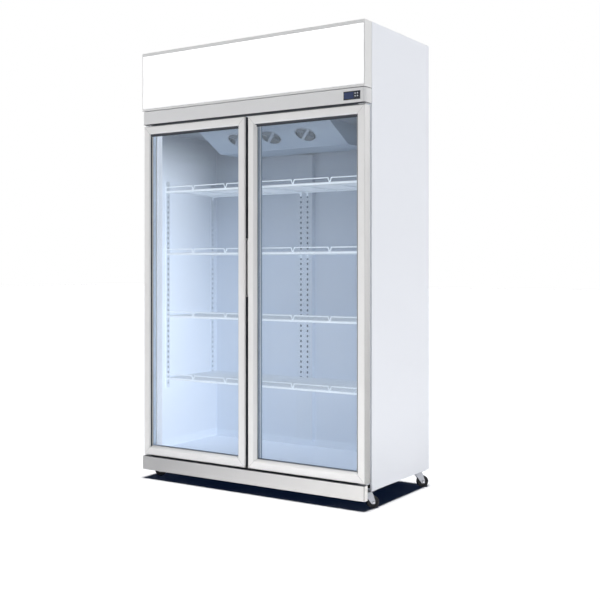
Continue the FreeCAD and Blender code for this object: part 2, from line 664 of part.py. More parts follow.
# Control fascia with its controller.
FASCIA = deep("fascia_setback")
fascia_shell = padded("fascia_shell", "z", [
    (f"-{SIGN_HALF}", FASCIA),
    (SIGN_HALF, FASCIA),
    (SIGN_HALF, BODY_FRONT),
    (f"{SIGN_HALF} - fascia_sheet", BODY_FRONT),
    (f"{SIGN_HALF} - fascia_sheet", f"{FASCIA} + fascia_sheet"),
    (f"-{SIGN_HALF} + fascia_sheet", f"{FASCIA} + fascia_sheet"),
    (f"-{SIGN_HALF} + fascia_sheet", BODY_FRONT),
    (f"-{SIGN_HALF}", BODY_FRONT),
], FASCIA_FOOT, FASCIA_HEAD, [("fascia_round", (0, 1)), ("fascia_round - fascia_sheet", (4, 5))])
CONTROL_X = f"({SIGN_HALF} - controller_side)"
CONTROL_Z = f"({FASCIA_FOOT} + fascia_height / 2)"


def panel(label, middle, width, height, y, rise="0"):
    """A plate on the fascia, given by its middle and its size."""
    return block(label, (f"{middle} - ({width}) / 2", f"{middle} + ({width}) / 2"), y,
                 (f"{CONTROL_Z} + {rise} - ({height}) / 2", f"{CONTROL_Z} + {rise} + ({height}) / 2"))


BOX_WIDE = "controller_width - 2 * controller_rim"
BOX_TALL = "controller_height - 2 * controller_rim"
BEZEL = f"({FASCIA} - controller_proud)"
node(cut("control_fascia", fascia_shell,
         panel("controller_opening", CONTROL_X, BOX_WIDE, BOX_TALL,
               (f"{FASCIA} - overcut", f"{FASCIA} + fascia_sheet + overcut"))))
WINDOW = f"({CONTROL_X} + window_offset)"
KEY_BACK = f"({FRONT} + key_length + key_travel)"
key_spots = []
for rise, row in ((1, "upper"), (-1, "lower")):
    for side, column in ((-1, "left"), (1, "right")):
        x = f"({CONTROL_X} + key_offset + {side} * key_pitch / 2)"
        z = f"({CONTROL_Z} + key_rise + {rise} * key_pitch / 2)"
        key_spots.append((f"{row}_{column}_key", x, z))
recess = [panel("window_recess", WINDOW, "window_width", "window_height",
                (f"{BEZEL} - overcut", f"{BEZEL} + window_deep"))]
KEY_HOLE = (f"{BEZEL} - overcut", f"{KEY_BACK} + overcut")
for name, x, z in key_spots:
    recess.append(rod(name + "_hole", "y", "key_radius + key_clearance", *KEY_HOLE, (x, z)))
controller = fused("controller_shell",
                   panel("controller_bezel", CONTROL_X, "controller_width", "controller_height",
                         (BEZEL, FASCIA)),
                   panel("controller_box", CONTROL_X, BOX_WIDE, BOX_TALL,
                         (FASCIA, f"{FASCIA} + controller_body")))
node(cut("controller_housing", controller, *recess))
node(panel("controller_display", WINDOW, "window_width", "window_height", (BEZEL, f"{BEZEL} + window_deep")))
for name, x, z in key_spots:
    node(rod(name, "y", "key_radius", FRONT, f"{FRONT} + key_length", (x, z)))

# Left door: a mitred frame with a glass channel; the right door is its mirror image.
DOOR_OUT = f"({HALF} - door_inset)"
EDGES = {"hinge": f"-{DOOR_OUT}", "free": "-(centre_gap / 2)", "foot": DOOR_FOOT, "head": DOOR_HEAD}
FRAME = "(frame_flat + frame_bevel)"
LIP_BACK = "(frame_bevel + frame_lip)"
UNIT = "(2 * pane_thickness + pane_gap)"
CHANNEL = [
    ("0", "0"),
    ("frame_flat", "0"),
    (FRAME, "frame_bevel"),
    (FRAME, LIP_BACK),
    (f"({FRAME} - glass_bite)", LIP_BACK),
    (f"({FRAME} - glass_bite)", f"({LIP_BACK} + {UNIT})"),
    (FRAME, f"({LIP_BACK} + {UNIT})"),
    (FRAME, "door_thickness"),
    ("0", "door_thickness"),
]


def leaf(text):
    """A depth behind the face of the doors."""
    return deep(f"(door_setback + {text})")


def door_bar(name, upright, edge, way, low, high, corner="frame_round"):
    """One frame bar, its ends mitred at 45 degrees."""
    points = [(f"{edge} {way} {u}", leaf(s)) for u, s in CHANNEL]
    ends = [(edge, low), (f"{edge} {way} {FRAME}", f"{low} + {FRAME}"),
            (f"{edge} {way} {FRAME}", f"{high} - {FRAME}"), (edge, high)]
    if not upright:
        points = [(s, u) for u, s in points]
        ends = [(along, across) for across, along in ends]
    bar = padded(f"door_{name}_bar", "z" if upright else "x", points, low, high, [(corner, (0,))])
    mitre = padded(f"door_{name}_mitre", "y", ends, leaf("0"), leaf("door_thickness"))
    return common(f"door_{name}", bar, mitre)


PIVOT_X = f"(-{DOOR_OUT} + hinge_inset)"
PIVOT = (PIVOT_X, leaf("hinge_back"))
BORE = "pin_radius + running_clearance"
bores = (rod("bore_head", "z", BORE, f"{DOOR_HEAD} - pin_length - bore_end", f"{DOOR_HEAD} + overcut", PIVOT),
         rod("bore_foot", "z", BORE, f"{DOOR_FOOT} - overcut", f"{DOOR_FOOT} + pin_length + bore_end", PIVOT))
FREE = EDGES["free"]
GRIP_Y = (leaf("grip_front"), leaf("(grip_front + grip_width)"))
GRIP_Z = ("grip_middle - grip_length / 2", "grip_middle + grip_length / 2")
span = (EDGES["hinge"], EDGES["free"])
stand = (EDGES["foot"], EDGES["head"])
free_stile = door_bar("free_stile", True, EDGES["free"], "-", *stand, corner="free_round")
STILE_X = (f"{FREE} - {FRAME}", FREE)
STILE_Y = (leaf("0"), leaf("door_thickness"))
FREE_PIECES = (
    ("foot", STILE_X, STILE_Y, (DOOR_FOOT, GRIP_Z[0])),
    ("grip_face", STILE_X, (STILE_Y[0], GRIP_Y[0]), GRIP_Z),
    ("grip_core", (STILE_X[0], f"{FREE} - grip_reach"), GRIP_Y, GRIP_Z),
    ("grip_back", STILE_X, (GRIP_Y[1], STILE_Y[1]), GRIP_Z),
    ("head", STILE_X, STILE_Y, (GRIP_Z[1], DOOR_HEAD)),
)
free_lengths = [common(f"free_stile_{name}", free_stile, block(f"free_stile_{name}_length", *ranges))
                for name, *ranges in FREE_PIECES]
left_frame = node(group(
    "left_door_frame",
    cut("hinge_stile", door_bar("hinge_stile", True, EDGES["hinge"], "+", *stand), *bores),
    *free_lengths,
    cut("foot_rail", door_bar("foot_rail", False, EDGES["foot"], "+", *span), bores[1]),
    cut("head_rail", door_bar("head_rail", False, EDGES["head"], "-", *span), bores[0]),
))
GLASS_IN = f"({FRAME} - glass_bite + edge_play)"
PANE = [(f"{low} + {GLASS_IN}", f"{high} - {GLASS_IN}") for low, high in (span, stand)]
panes = []
for name, start in (("outer", LIP_BACK), ("inner", f"({LIP_BACK} + pane_thickness + pane_gap)")):
    panes.append(block(f"{name}_pane", PANE[0], (leaf(start), leaf(f"({start} + pane_thickness)")), PANE[1]))
left_glass = node(group("left_door_glass", *panes))
SEAL_Y = (leaf("door_thickness"), leaf("(door_thickness + gasket_thickness)"))
SEAL_X = (f"{span[0]} + gasket_inset", f"{span[1]} - gasket_inset")
SEAL_Z = (f"{stand[0]} + gasket_inset", f"{stand[1]} - gasket_inset")
BETWEEN = (f"{SEAL_X[0]} + gasket_width", f"{SEAL_X[1]} - gasket_width")
left_gasket = node(group(
    "left_door_gasket",
    block("seal_hinge", (SEAL_X[0], BETWEEN[0]), SEAL_Y, SEAL_Z),
    block("seal_free", (BETWEEN[1], SEAL_X[1]), SEAL_Y, SEAL_Z),
    block("seal_foot", BETWEEN, SEAL_Y, (SEAL_Z[0], f"{SEAL_Z[0]} + gasket_width")),
    block("seal_head", BETWEEN, SEAL_Y, (f"{SEAL_Z[1]} - gasket_width", SEAL_Z[1])),
))
GRIP_X = (f"{FREE} - grip_reach", FREE)
GRIP_IN = f"{GRIP_X[0]} + grip_wall"
HOLLOW_Y = (f"{GRIP_Y[0]} + grip_wall", f"{GRIP_Y[1]} - grip_wall")
left_grip = node(group(
    "left_door_grip",
    block("grip_floor", (GRIP_X[0], GRIP_IN), GRIP_Y, GRIP_Z),
    block("grip_fore", (GRIP_IN, FREE), (GRIP_Y[0], HOLLOW_Y[0]), GRIP_Z),
    block("grip_rear", (GRIP_IN, FREE), (HOLLOW_Y[1], GRIP_Y[1]), GRIP_Z),
    block("grip_foot", (GRIP_IN, FREE), HOLLOW_Y, (GRIP_Z[0], f"{GRIP_Z[0]} + grip_wall")),
    block("grip_head", (GRIP_IN, FREE), HOLLOW_Y, (f"{GRIP_Z[1]} - grip_wall", GRIP_Z[1])),
))
for source in (left_frame, left_glass, left_gasket, left_grip):
    node(mirrored(source.Name.replace("left", "right"), source))

# Hinge plates: a flat plate with a leg on the jamb and a pin standing into the door.
PLATE_EDGE = f"{PIVOT_X} - hinge_inset + hinge_edge"
PLATE_X = (PLATE_EDGE, f"{PLATE_EDGE} + hinge_width")
PLATE_Y = (f"{PIVOT[1]} - hinge_overhang", BODY_FRONT)
LEG_Y = (f"{BODY_FRONT} - hinge_plate", BODY_FRONT)
upper_plate = (f"{FASCIA_FOOT} - hinge_drop - hinge_plate", f"{FASCIA_FOOT} - hinge_drop")
lower_plate = (f"{KICK_TOP} + hinge_lift", f"{KICK_TOP} + hinge_lift + hinge_plate")
upper_hinge = fused("upper_left_hinge",
                    block("upper_plate", PLATE_X, PLATE_Y, upper_plate),
                    block("upper_leg", PLATE_X, LEG_Y, (upper_plate[0], f"{upper_plate[0]} + hinge_leg")),
                    rod("upper_pin", "z", "pin_radius", f"{DOOR_HEAD} - pin_length", upper_plate[1], PIVOT))
lower_hinge = fused("lower_left_hinge",
                    block("lower_plate", PLATE_X, PLATE_Y, lower_plate),
                    block("lower_leg", PLATE_X, LEG_Y, (f"{lower_plate[1]} - hinge_leg", lower_plate[1])),
                    rod("lower_collar", "z", "collar_radius", lower_plate[0], f"{DOOR_FOOT} - thrust_gap",
                        PIVOT),
                    rod("lower_pin", "z", "pin_radius", lower_plate[0], f"{DOOR_FOOT} + pin_length", PIVOT))
node(group("hinge_brackets", upper_hinge, lower_hinge,
           mirrored("upper_right_hinge", upper_hinge), mirrored("lower_right_hinge", lower_hinge)))

# Slotted shelf standards on the side walls and the slotted air duct on the back wall.
STANDARD_Z = ("shelf_first - 2 * slot_pitch", f"shelf_first + slot_pitch * {SLOTS}")
STANDARDS = (("fore", deep("strip_fore")), ("rear", f"({BACK_IN} - strip_rear)"))
standards = []
for name, middle in STANDARDS:
    strip = padded(f"standard_{name}", "x", [
        (f"{middle} - strip_width / 2", STANDARD_Z[0]),
        (f"{middle} + strip_width / 2", STANDARD_Z[0]),
        (f"{middle} + strip_width / 2", STANDARD_Z[1]),
        (f"{middle} - strip_width / 2", STANDARD_Z[1]),
    ], f"-{INNER}", f"-{INNER} + strip_proud")
    slotted(strip, "YZ_Plane", f"-{INNER}", [middle], "4 * strip_proud", SLOTS)
    standards += [strip, mirrored(f"standard_{name}_right", strip)]
node(group("side_shelf_standards", *standards))
DUCT_FACE = f"({BACK_IN} - duct_depth)"
duct = padded("rear_shelf_duct", "z", [
    ("-duct_width / 2", DUCT_FACE),
    ("duct_width / 2", DUCT_FACE),
    ("duct_width / 2", BACK_IN),
    ("duct_width / 2 - duct_sheet", BACK_IN),
    ("duct_width / 2 - duct_sheet", f"{DUCT_FACE} + duct_sheet"),
    ("-duct_width / 2 + duct_sheet", f"{DUCT_FACE} + duct_sheet"),
    ("-duct_width / 2 + duct_sheet", BACK_IN),
    ("-duct_width / 2", BACK_IN),
], "floor_level + duct_foot", "ceiling_level - cover_drop - duct_head", [("bend_radius", (0, 1))])
doc.recompute()
slotted(duct, "XZ_Plane", f"-({DUCT_FACE})", ["-duct_slots", "duct_slots"], "6 * duct_sheet", SLOTS)
node(duct)

# One wire shelf for the left bay, repeated at each level and mirrored for the right bay.
SHELF_OUT = f"({INNER} - shelf_wall_gap)"
SHELF_X = (f"-{SHELF_OUT}", "-shelf_inner")
SHELF_FORE = deep("shelf_front")
SHELF_BACK = f"({DUCT_FACE} - shelf_rear_gap)"
BAR_Z = "-bar_radius"
wires = [
    block("shelf_strip", SHELF_X, (SHELF_FORE, f"{SHELF_FORE} + strip_depth"),
          ("-strip_height", "strip_crest")),
    rod("shelf_back_bar", "x", "back_bar_radius", *SHELF_X, (f"{SHELF_BACK} - back_bar_radius", BAR_Z)),
]
BEARERS = 4
for n in range(BEARERS):
    step = f"({SHELF_OUT} - shelf_inner - 2 * bearer_inset) / {BEARERS - 1}"
    x = f"(-{SHELF_OUT} + bearer_inset + {n} * {step})"
    wires.append(rod(f"shelf_bearer_{n}", "y", "bar_radius", f"{SHELF_FORE} + strip_depth / 2",
                     f"{SHELF_BACK} - bar_radius", (x, BAR_Z)))
DECK = 17
for n in range(DECK):
    y = f"{SHELF_FORE} + deck_fore + {n} * ({SHELF_BACK} - {SHELF_FORE} - deck_fore - deck_rear) / {DECK - 1}"
    wires.append(rod(f"shelf_wire_{n}", "x", "wire_radius", *SHELF_X, (y, "wire_radius - weld_sink")))
bay_shelf = fused("bay_shelf", *wires)

# The guard wire stands on the front strip and dips to it twice.
GUARD_Y = f"({SHELF_FORE} + strip_depth / 2)"
STAND_OUT, STAND_IN = f"(-{SHELF_OUT} + guard_radius)", "(-shelf_inner - guard_radius)"
DIP_Z = "(strip_crest + seat_gap + guard_radius)"
bend = [(STAND_OUT, "strip_crest"), (STAND_OUT, "guard_rise")]
for dip in (f"(-{SHELF_OUT} + dip_outer)", "(-shelf_inner - dip_inner)"):
    bend += [(f"{dip} - guard_dip", "guard_rise"), (f"{dip} - dip_flat", DIP_Z),
             (f"{dip} + dip_flat", DIP_Z), (f"{dip} + guard_dip", "guard_rise")]
bend += [(STAND_IN, "guard_rise"), (STAND_IN, "strip_crest")]
guard_path = doc.addObject("Sketcher::SketchObject", "guard_path")
guard_path.Placement = FreeCAD.Placement(FreeCAD.Vector(), FreeCAD.Rotation(FreeCAD.Vector(1, 0, 0), 90))
bind(guard_path, "Placement.Base.y", GUARD_Y)
outline(guard_path, bend, closed=False)
guard_round = doc.addObject("Part::Circle", "guard_round")
bind(guard_round, "Radius", "guard_radius")
for name, text in zip("xyz", (STAND_OUT, GUARD_Y, "strip_crest")):
    bind(guard_round, f"Placement.Base.{name}", text)
bay_guard = doc.addObject("Part::Sweep", "bay_guard")
bay_guard.Sections = [guard_round]
bay_guard.Spine = (guard_path, [f"Edge{i}" for i in range(1, len(bend))])
bay_guard.Solid = True
bay_guard.Frenet = False
bay_guard.Transition = "Right corner"

# Four clips carry each shelf: two on the side wall, one on the duct, one on the centre post.
# Each is an arm over a tongue.
ARM_TOP = f"({BAR_Z} - back_bar_radius - seat_gap)"
ARM_Z = (f"{ARM_TOP} - clip_arm", ARM_TOP)
WALL_X = f"(-{INNER} + strip_proud)"
clips = []
for name, middle in STANDARDS:
    y = (f"{middle} - clip_width / 2", f"{middle} + clip_width / 2")
    clips += [
        block(f"clip_{name}_arm", (WALL_X, f"-{SHELF_OUT} + clip_lap"), y, ARM_Z),
        block(f"clip_{name}_tongue", (WALL_X, f"{WALL_X} + clip_tongue"), y,
              (f"{ARM_Z[0]} - clip_drop", ARM_Z[0])),
    ]
CLIP_X = ("-duct_slots - clip_width / 2", "-duct_slots + clip_width / 2")
POST_ARM = ("-strip_height - seat_gap - clip_arm", "-strip_height - seat_gap")
clips += [
    block("clip_duct_arm", CLIP_X, (f"{DUCT_FACE} - clip_reach", DUCT_FACE), ARM_Z),
    block("clip_duct_tongue", CLIP_X, (f"{DUCT_FACE} - clip_tongue", DUCT_FACE),
          (f"{ARM_Z[0]} - clip_drop", ARM_Z[0])),
    block("clip_post_arm", CLIP_X, (JAMB_BACK, f"{SHELF_FORE} + strip_depth"), POST_ARM),
    block("clip_post_tongue", CLIP_X, (JAMB_BACK, f"{JAMB_BACK} + clip_tongue"),
          (f"{POST_ARM[0]} - clip_drop", POST_ARM[0])),
]
bay_clips = group("bay_clips", *clips)
guards, hooks = [], []
for n, level in enumerate(LEVELS, start=1):
    shelf = copied(f"left_shelf_{n}", bay_shelf, z=level)
    node(group(f"shelf_level_{n}", shelf, mirrored(f"right_shelf_{n}", shelf)))
    for source, kept in ((bay_guard, guards), (bay_clips, hooks)):
        left = copied(f"{source.Name}_left_{n}", source, z=level)
        kept += [left, mirrored(f"{source.Name}_right_{n}", left)]
node(group("shelf_guards", *guards))
node(group("shelf_clips", *hooks))

# Evaporator cover: a sheet hood with a sloping fan face under the ceiling.
COVER_LOW = "(ceiling_level - cover_drop)"
SLOPE = "atan(cover_drop / cover_run)"
COVER_BACK = f"({BACK_IN} - cover_rear_gap)"
COVER_FOLD = deep("(cover_fore + cover_run)")
cover_outside = padded("cover_outside", "x", [
    (deep("cover_fore"), "ceiling_level"),
    (COVER_FOLD, COVER_LOW),
    (COVER_BACK, COVER_LOW),
    (COVER_BACK, "ceiling_level"),
], "-cover_reach", "cover_reach")
cover_inside = padded("cover_inside", "x", [
    (deep(f"(cover_fore + cover_sheet / sin({SLOPE}) - overcut / tan({SLOPE}))"), "ceiling_level + overcut"),
    (f"{COVER_FOLD} + cover_sheet * tan({SLOPE} / 2)", f"{COVER_LOW} + cover_sheet"),
    (f"{COVER_BACK} - cover_sheet", f"{COVER_LOW} + cover_sheet"),
    (f"{COVER_BACK} - cover_sheet", "ceiling_level + overcut"),
], "-cover_reach + cover_sheet", "cover_reach - cover_sheet")
TILT = ((1, 0, 0), f"180 deg - {SLOPE}")
FAN_Y = deep("(cover_fore + cover_run / 2)")
FAN_Z = f"({COVER_LOW} + cover_drop / 2)"
FANS = (("left", "-fan_pitch"), ("centre", "0"), ("right", "fan_pitch"))


def on_slope(label, source, x):
    """The source set on the sloping face with its Z pointing out of the cover."""
    return copied(label, source, x, FAN_Y, FAN_Z, TILT)


AXIS = ("0", "0")
fan_hole = rod("fan_hole", "z", "fan_opening", "-cover_sheet - overcut", "overcut", AXIS)
node(cut("evaporator_cover", cut("cover_shell", cover_outside, cover_inside),
         *[on_slope(f"fan_hole_{side}", fan_hole, x) for side, x in FANS]))


def bladed(label, tip, hub, height, chord, pitch, shaft, count=5):
    """A fan about Z: hub, pitched blades trimmed to the tip circle, and a shaft going down."""
    half = f"({chord}) / 2"
    trimmed = []
    disc = rod(f"{label}_disc", "z", tip, f"-({chord})", chord, AXIS)
    for n in range(count):
        flat = block(f"{label}_flat_{n}", (f"{hub} - blade_root", f"{tip} + blade_root"), (f"-{half}", half),
                     ("-blade_sheet / 2", "blade_sheet / 2"))
        pitched = copied(f"{label}_pitched_{n}", flat, turn=((1, 0, 0), pitch))
        blade = copied(f"{label}_blade_{n}", pitched, turn=((0, 0, 1), f"360 * {n} / {count} + 0.001"))
        trimmed.append(common(f"{label}_trim_{n}", blade, disc))
    core = rod(f"{label}_hub", "z", hub, f"-({height}) / 2", f"({height}) / 2", AXIS)
    stub = rod(f"{label}_shaft", "z", "shaft_radius", f"-({height}) / 2 - hub_gap - ({shaft})", "0", AXIS)
    return fused(label, core, stub, *trimmed)


small_fan = bladed("small_fan", "fan_radius", "hub_radius", "hub_height", "blade_chord", "blade_pitch",
                   "shaft_length")
MOTOR_TOP = "(-hub_height / 2 - hub_gap)"
MOTOR_FOOT = f"({MOTOR_TOP} - motor_length)"
STRAP_Z = (f"{MOTOR_FOOT} - strap_sheet / 2", f"{MOTOR_FOOT} + strap_sheet / 2")
STRAP_Y = ("-strap_width / 2", "strap_width / 2")
STRAP_END = "(fan_opening + strap_lap)"
motor_can = cut("motor_can", rod("motor_body", "z", "motor_radius", MOTOR_FOOT, MOTOR_TOP, AXIS),
                rod("motor_bore", "z", "shaft_radius + running_clearance",
                    f"{MOTOR_TOP} - shaft_length - bore_end", f"{MOTOR_TOP} + overcut", AXIS))
LEG_Z = (STRAP_Z[0], "fan_set + hub_height / 2 - cover_sheet - seat_gap")
motor_leg = block("motor_leg", (f"{STRAP_END} - leg_sheet", STRAP_END), STRAP_Y, LEG_Z)
strap = block("motor_strap", (f"-{STRAP_END}", STRAP_END), STRAP_Y, STRAP_Z)
small_motor = fused("small_motor", motor_can, strap, motor_leg, mirrored("motor_leg_left", motor_leg))
ring = [cut("guard_rim", rod("rim_out", "z", "fan_opening + rim_lap", "0", "rim_sheet", AXIS),
            rod("rim_in", "z", "fan_opening - overcut", "-overcut", "rim_sheet + overcut", AXIS))]
HOOPS = 3
for n in range(HOOPS):
    hoop = doc.addObject("Part::Torus", f"guard_hoop_{n}")
    bind(hoop, "Radius1", f"hub_radius + (fan_opening - hub_radius) * {n} / {HOOPS}")
    bind(hoop, "Radius2", "hoop_wire")
    bind(hoop, "Placement.Base.z", "bar_sheet / 2")
    ring.append(hoop)
for angle, width in (("45", "bar_wide"), ("135", "bar_slim")):
    spoke = block(f"guard_{width}", ("-fan_opening", "fan_opening"), (f"-{width} / 2", f"{width} / 2"),
                  ("0", "bar_sheet"))
    ring.append(copied(f"guard_turned_{width}", spoke, turn=((0, 0, 1), angle)))
face_guard = fused("face_guard", *ring)
sunk_fan = copied("sunk_fan", small_fan, z="-fan_set - hub_height / 2")
sunk_motor = copied("sunk_motor", small_motor, z="-fan_set - hub_height / 2")
node(group("evaporator_fan_motors", *[on_slope(f"motor_{side}", sunk_motor, x) for side, x in FANS]))
node(group("evaporator_fan_guards", *[on_slope(f"guard_{side}", face_guard, x) for side, x in FANS]))
for side, x in FANS:
    node(on_slope(f"evaporator_fan_{side}", sunk_fan, x))

# Finned evaporator coil hung from the ceiling by its end plates.
COIL_Y = (f"{COVER_BACK} - coil_rear_gap - coil_depth", f"{COVER_BACK} - coil_rear_gap")
FIN_FOOT = f"({COVER_LOW} + coil_foot)"
FIN_END = "(cover_reach - coil_side_gap)"
fins = block("coil_fins", (f"-{FIN_END}", FIN_END), COIL_Y, (FIN_FOOT, "ceiling_level - coil_head"))
PLATE_Z = (f"{FIN_FOOT} - coil_lip", "ceiling_level")
left_plate = block("coil_plate_left", (f"-{FIN_END} - coil_plate", f"-{FIN_END}"), COIL_Y, PLATE_Z)
TUBES = 6
tubes = []
for n in range(TUBES):
    place = (f"{COIL_Y[0]} + tube_edge + {n} * tube_pitch", f"{FIN_FOOT} + tube_edge + {n % 2} * tube_rise")
    tubes.append(rod(f"coil_tube_{n}", "x", "tube_radius", f"-{FIN_END} - tube_reach",
                     f"{FIN_END} + tube_reach", place))
node(fused("evaporator_coil", fins, left_plate, mirrored("coil_plate_right", left_plate), *tubes))

# Condensing unit on the roof: tray, compressor, condenser with shroud, and its fan.
TRAY_TOP = f"({ROOF} + tray_sheet)"
node(block("condensing_unit_tray", (f"-{SKIN_IN}", SKIN_IN), (JAMB_BACK, BACK_SHEET), (ROOF, TRAY_TOP)))
SEAM = ("compressor_height / 2 - compressor_seam", "compressor_height / 2")
shell = turned("compressor_shell", [
    ("0", "0"),
    ("compressor_radius + compressor_foot", "0"),
    ("compressor_radius + compressor_foot", "compressor_step"),
    ("compressor_radius", "2 * compressor_step"),
    ("compressor_radius", SEAM[0]),
    ("compressor_radius + compressor_seam", SEAM[0]),
    ("compressor_radius + compressor_seam", SEAM[1]),
    ("compressor_radius - compressor_seam / 2", SEAM[1]),
    ("compressor_radius - compressor_seam", "compressor_height * 0.78"),
    ("compressor_radius * 0.72", "compressor_height * 0.95"),
    ("compressor_radius * 0.3", "compressor_height"),
    ("0", "compressor_height"),
])
stubs = []
for name, side in (("suction", ""), ("discharge", "-")):
    stubs.append(rod(f"{name}_stub", "y", "stub_radius", "-compressor_radius - stub_reach",
                     "-compressor_radius / 2", (f"{side}stub_spread", "stub_rise")))
start_box = block("start_box", ("compressor_radius / 2", "compressor_radius + start_box_proud"),
                  ("-start_box_size / 2", "start_box_size / 2"),
                  ("start_box_size / 2", "start_box_size * 3 / 2"))
node(copied("compressor", fused("compressor_body", shell, start_box, *stubs), "-compressor_side",
            f"{BACK_SHEET} - compressor_back", TRAY_TOP))
CONDENSER_X = ("condenser_side - condenser_width / 2", "condenser_side + condenser_width / 2")
CONDENSER_BACK = f"({BACK_SHEET} - condenser_gap)"
CONDENSER_FACE = f"({CONDENSER_BACK} - condenser_depth)"
CONDENSER_Z = (TRAY_TOP, f"{TRAY_TOP} + condenser_height")
node(block("condenser_coil", CONDENSER_X, (CONDENSER_FACE, CONDENSER_BACK), CONDENSER_Z))
BIG_FAN = ("condenser_side", f"({TRAY_TOP} + condenser_height / 2)")
SHROUD_FACE = f"({CONDENSER_FACE} - shroud_depth)"
shroud_box = block("shroud_box", CONDENSER_X, (SHROUD_FACE, CONDENSER_FACE), CONDENSER_Z)
INSET = [(f"{low} + shroud_sheet", f"{high} - shroud_sheet") for low, high in (CONDENSER_X, CONDENSER_Z)]
shroud_hollow = block("shroud_hollow", INSET[0],
                      (f"{SHROUD_FACE} + shroud_sheet", f"{CONDENSER_FACE} + overcut"), INSET[1])
shroud_hole = rod("shroud_hole", "y", "big_fan_radius + big_tip_gap", f"{SHROUD_FACE} - overcut",
                  f"{SHROUD_FACE} + shroud_sheet + overcut", BIG_FAN)
MOTOR_NOSE = f"({SHROUD_FACE} - big_motor_gap)"
MOTOR_TAIL = f"({MOTOR_NOSE} - big_motor_length)"
big_motor = cut("big_motor", rod("big_motor_can", "y", "big_motor_radius", MOTOR_TAIL, MOTOR_NOSE, BIG_FAN),
                rod("big_motor_bore", "y", "shaft_radius + running_clearance",
                    f"{MOTOR_NOSE} - big_shaft - bore_end", f"{MOTOR_NOSE} + overcut", BIG_FAN))
motor_stand = block("motor_stand", ("condenser_side - stand_width / 2", "condenser_side + stand_width / 2"),
                    (f"{MOTOR_TAIL} + big_motor_length / 2 - stand_width / 2",
                     f"{MOTOR_TAIL} + big_motor_length / 2 + stand_width / 2"),
                    (TRAY_TOP, f"{BIG_FAN[1]} - big_motor_radius / 2"))
node(group("condenser_fan_shroud", cut("shroud", shroud_box, shroud_hollow, shroud_hole),
           fused("condenser_fan_motor", big_motor, motor_stand)))
big_fan = bladed("big_fan", "big_fan_radius", "big_hub_radius", "big_hub_height", "big_chord", "big_pitch",
                 "big_shaft")
node(copied("condenser_fan", big_fan, BIG_FAN[0], f"{MOTOR_NOSE} + hub_gap + big_hub_height / 2", BIG_FAN[1],
            ((1, 0, 0), "-90")))

# Castors: a fixed plate with a king pin, a fork that swivels and a wheel that rolls.
PLATE_FOOT = "(castor_height - castor_sheet)"
RACE_FOOT = f"({PLATE_FOOT} - race_height)"
KING_FOOT = "(castor_height - king_drop)"
SQUARE = ("-castor_plate / 2", "castor_plate / 2")
castor_plate = fused(
    "castor_plate_form",
    block("plate_sheet", SQUARE, SQUARE, (PLATE_FOOT, "castor_height")),
    rod("plate_race", "z", "race_radius", RACE_FOOT, PLATE_FOOT, AXIS),
    rod("king_pin", "z", "axle_radius", KING_FOOT, PLATE_FOOT, AXIS),
    rod("king_head", "z", "axle_radius + king_flange", KING_FOOT, f"{KING_FOOT} + king_flange", AXIS))
CROWN = (f"({RACE_FOOT} - race_play - crown_height)", f"({RACE_FOOT} - race_play)")
LEG_IN = "(hub_width / 2 + side_play)"
LEG_OUT = f"({LEG_IN} + castor_sheet)"
fork_leg = padded("fork_leg", "x", [
    ("-fork_fore", CROWN[1]),
    ("fork_rear", CROWN[1]),
    ("castor_trail + fork_cheek", "wheel_radius + fork_cheek"),
    ("castor_trail + fork_cheek", "wheel_radius - fork_cheek"),
    ("castor_trail - fork_cheek", "wheel_radius - fork_cheek"),
    ("-fork_fore", f"{CROWN[0]} - fork_waist"),
], LEG_IN, LEG_OUT)
fork_form = cut(
    "fork_form",
    fused("fork_solid", fork_leg, mirrored("fork_leg_left", fork_leg),
          block("fork_crown", (f"-{LEG_IN}", LEG_IN), ("-fork_fore", "fork_rear"), CROWN),
          rod("wheel_axle", "x", "axle_radius", f"-{LEG_OUT} - axle_proud", f"{LEG_OUT} + axle_proud",
              ("castor_trail", "wheel_radius"))),
    rod("king_bore", "z", "axle_radius + running_clearance", f"{CROWN[0]} - overcut", f"{CROWN[1]} + overcut",
        AXIS))
WEB = "(wheel_width / 2 - web_inset)"
half_wheel = [
    ("axle_radius + running_clearance", "hub_width / 2"),
    ("axle_radius + hub_boss", "hub_width / 2"),
    ("axle_radius + hub_boss", WEB),
    ("wheel_radius - tyre_depth", WEB),
    ("wheel_radius - tyre_depth", "wheel_width / 2"),
    ("wheel_radius - tyre_round", "wheel_width / 2"),
    ("wheel_radius", "wheel_width / 2 - tyre_round"),
]
other_half = [(radius, f"-({height})") for radius, height in reversed(half_wheel)]
wheel_form = turned("wheel_form", half_wheel + other_half)
wheel_set = copied("wheel_set", wheel_form, y="castor_trail", z="wheel_radius", turn=((0, 1, 0), "90"))
SWIVELS = []
for row, y in (("front", deep("castor_fore")), ("rear", f"({REAR} - castor_rear)")):
    for side, sign in (("left", "-"), ("right", "")):
        SWIVELS.append((f"{row}_{side}", f"{sign}({HALF} - castor_side)", y))
node(group("castor_plates", *[copied(f"{name}_plate", castor_plate, x, y) for name, x, y in SWIVELS]))
for name, x, y in SWIVELS:
    node(copied(f"{name}_fork", fork_form, x, y, turn=((0, 0, 1), "castor_turn")))
    node(copied(f"{name}_wheel", wheel_set, x, y, turn=((0, 0, 1), "castor_turn")))

doc.recompute()

# Every object is checked before anything is written.
for item in doc.Objects:
    if "Invalid" in item.State or "Error" in item.State:
        raise RuntimeError(f"{item.Name}: {item.State}")
for item in NODES:
    shape = item.Shape
    if shape.isNull() or not shape.isValid() or not shape.Solids:
        raise RuntimeError(f"{item.Label} has no valid solid")
    if any(solid.Volume <= 0 for solid in shape.Solids):
        raise RuntimeError(f"{item.Label} has an empty solid")

os.makedirs("parts", exist_ok=True)
for item in NODES:
    item.Shape.exportStep(f"parts/{item.Label}.step")
print(len(NODES), "nodes written")
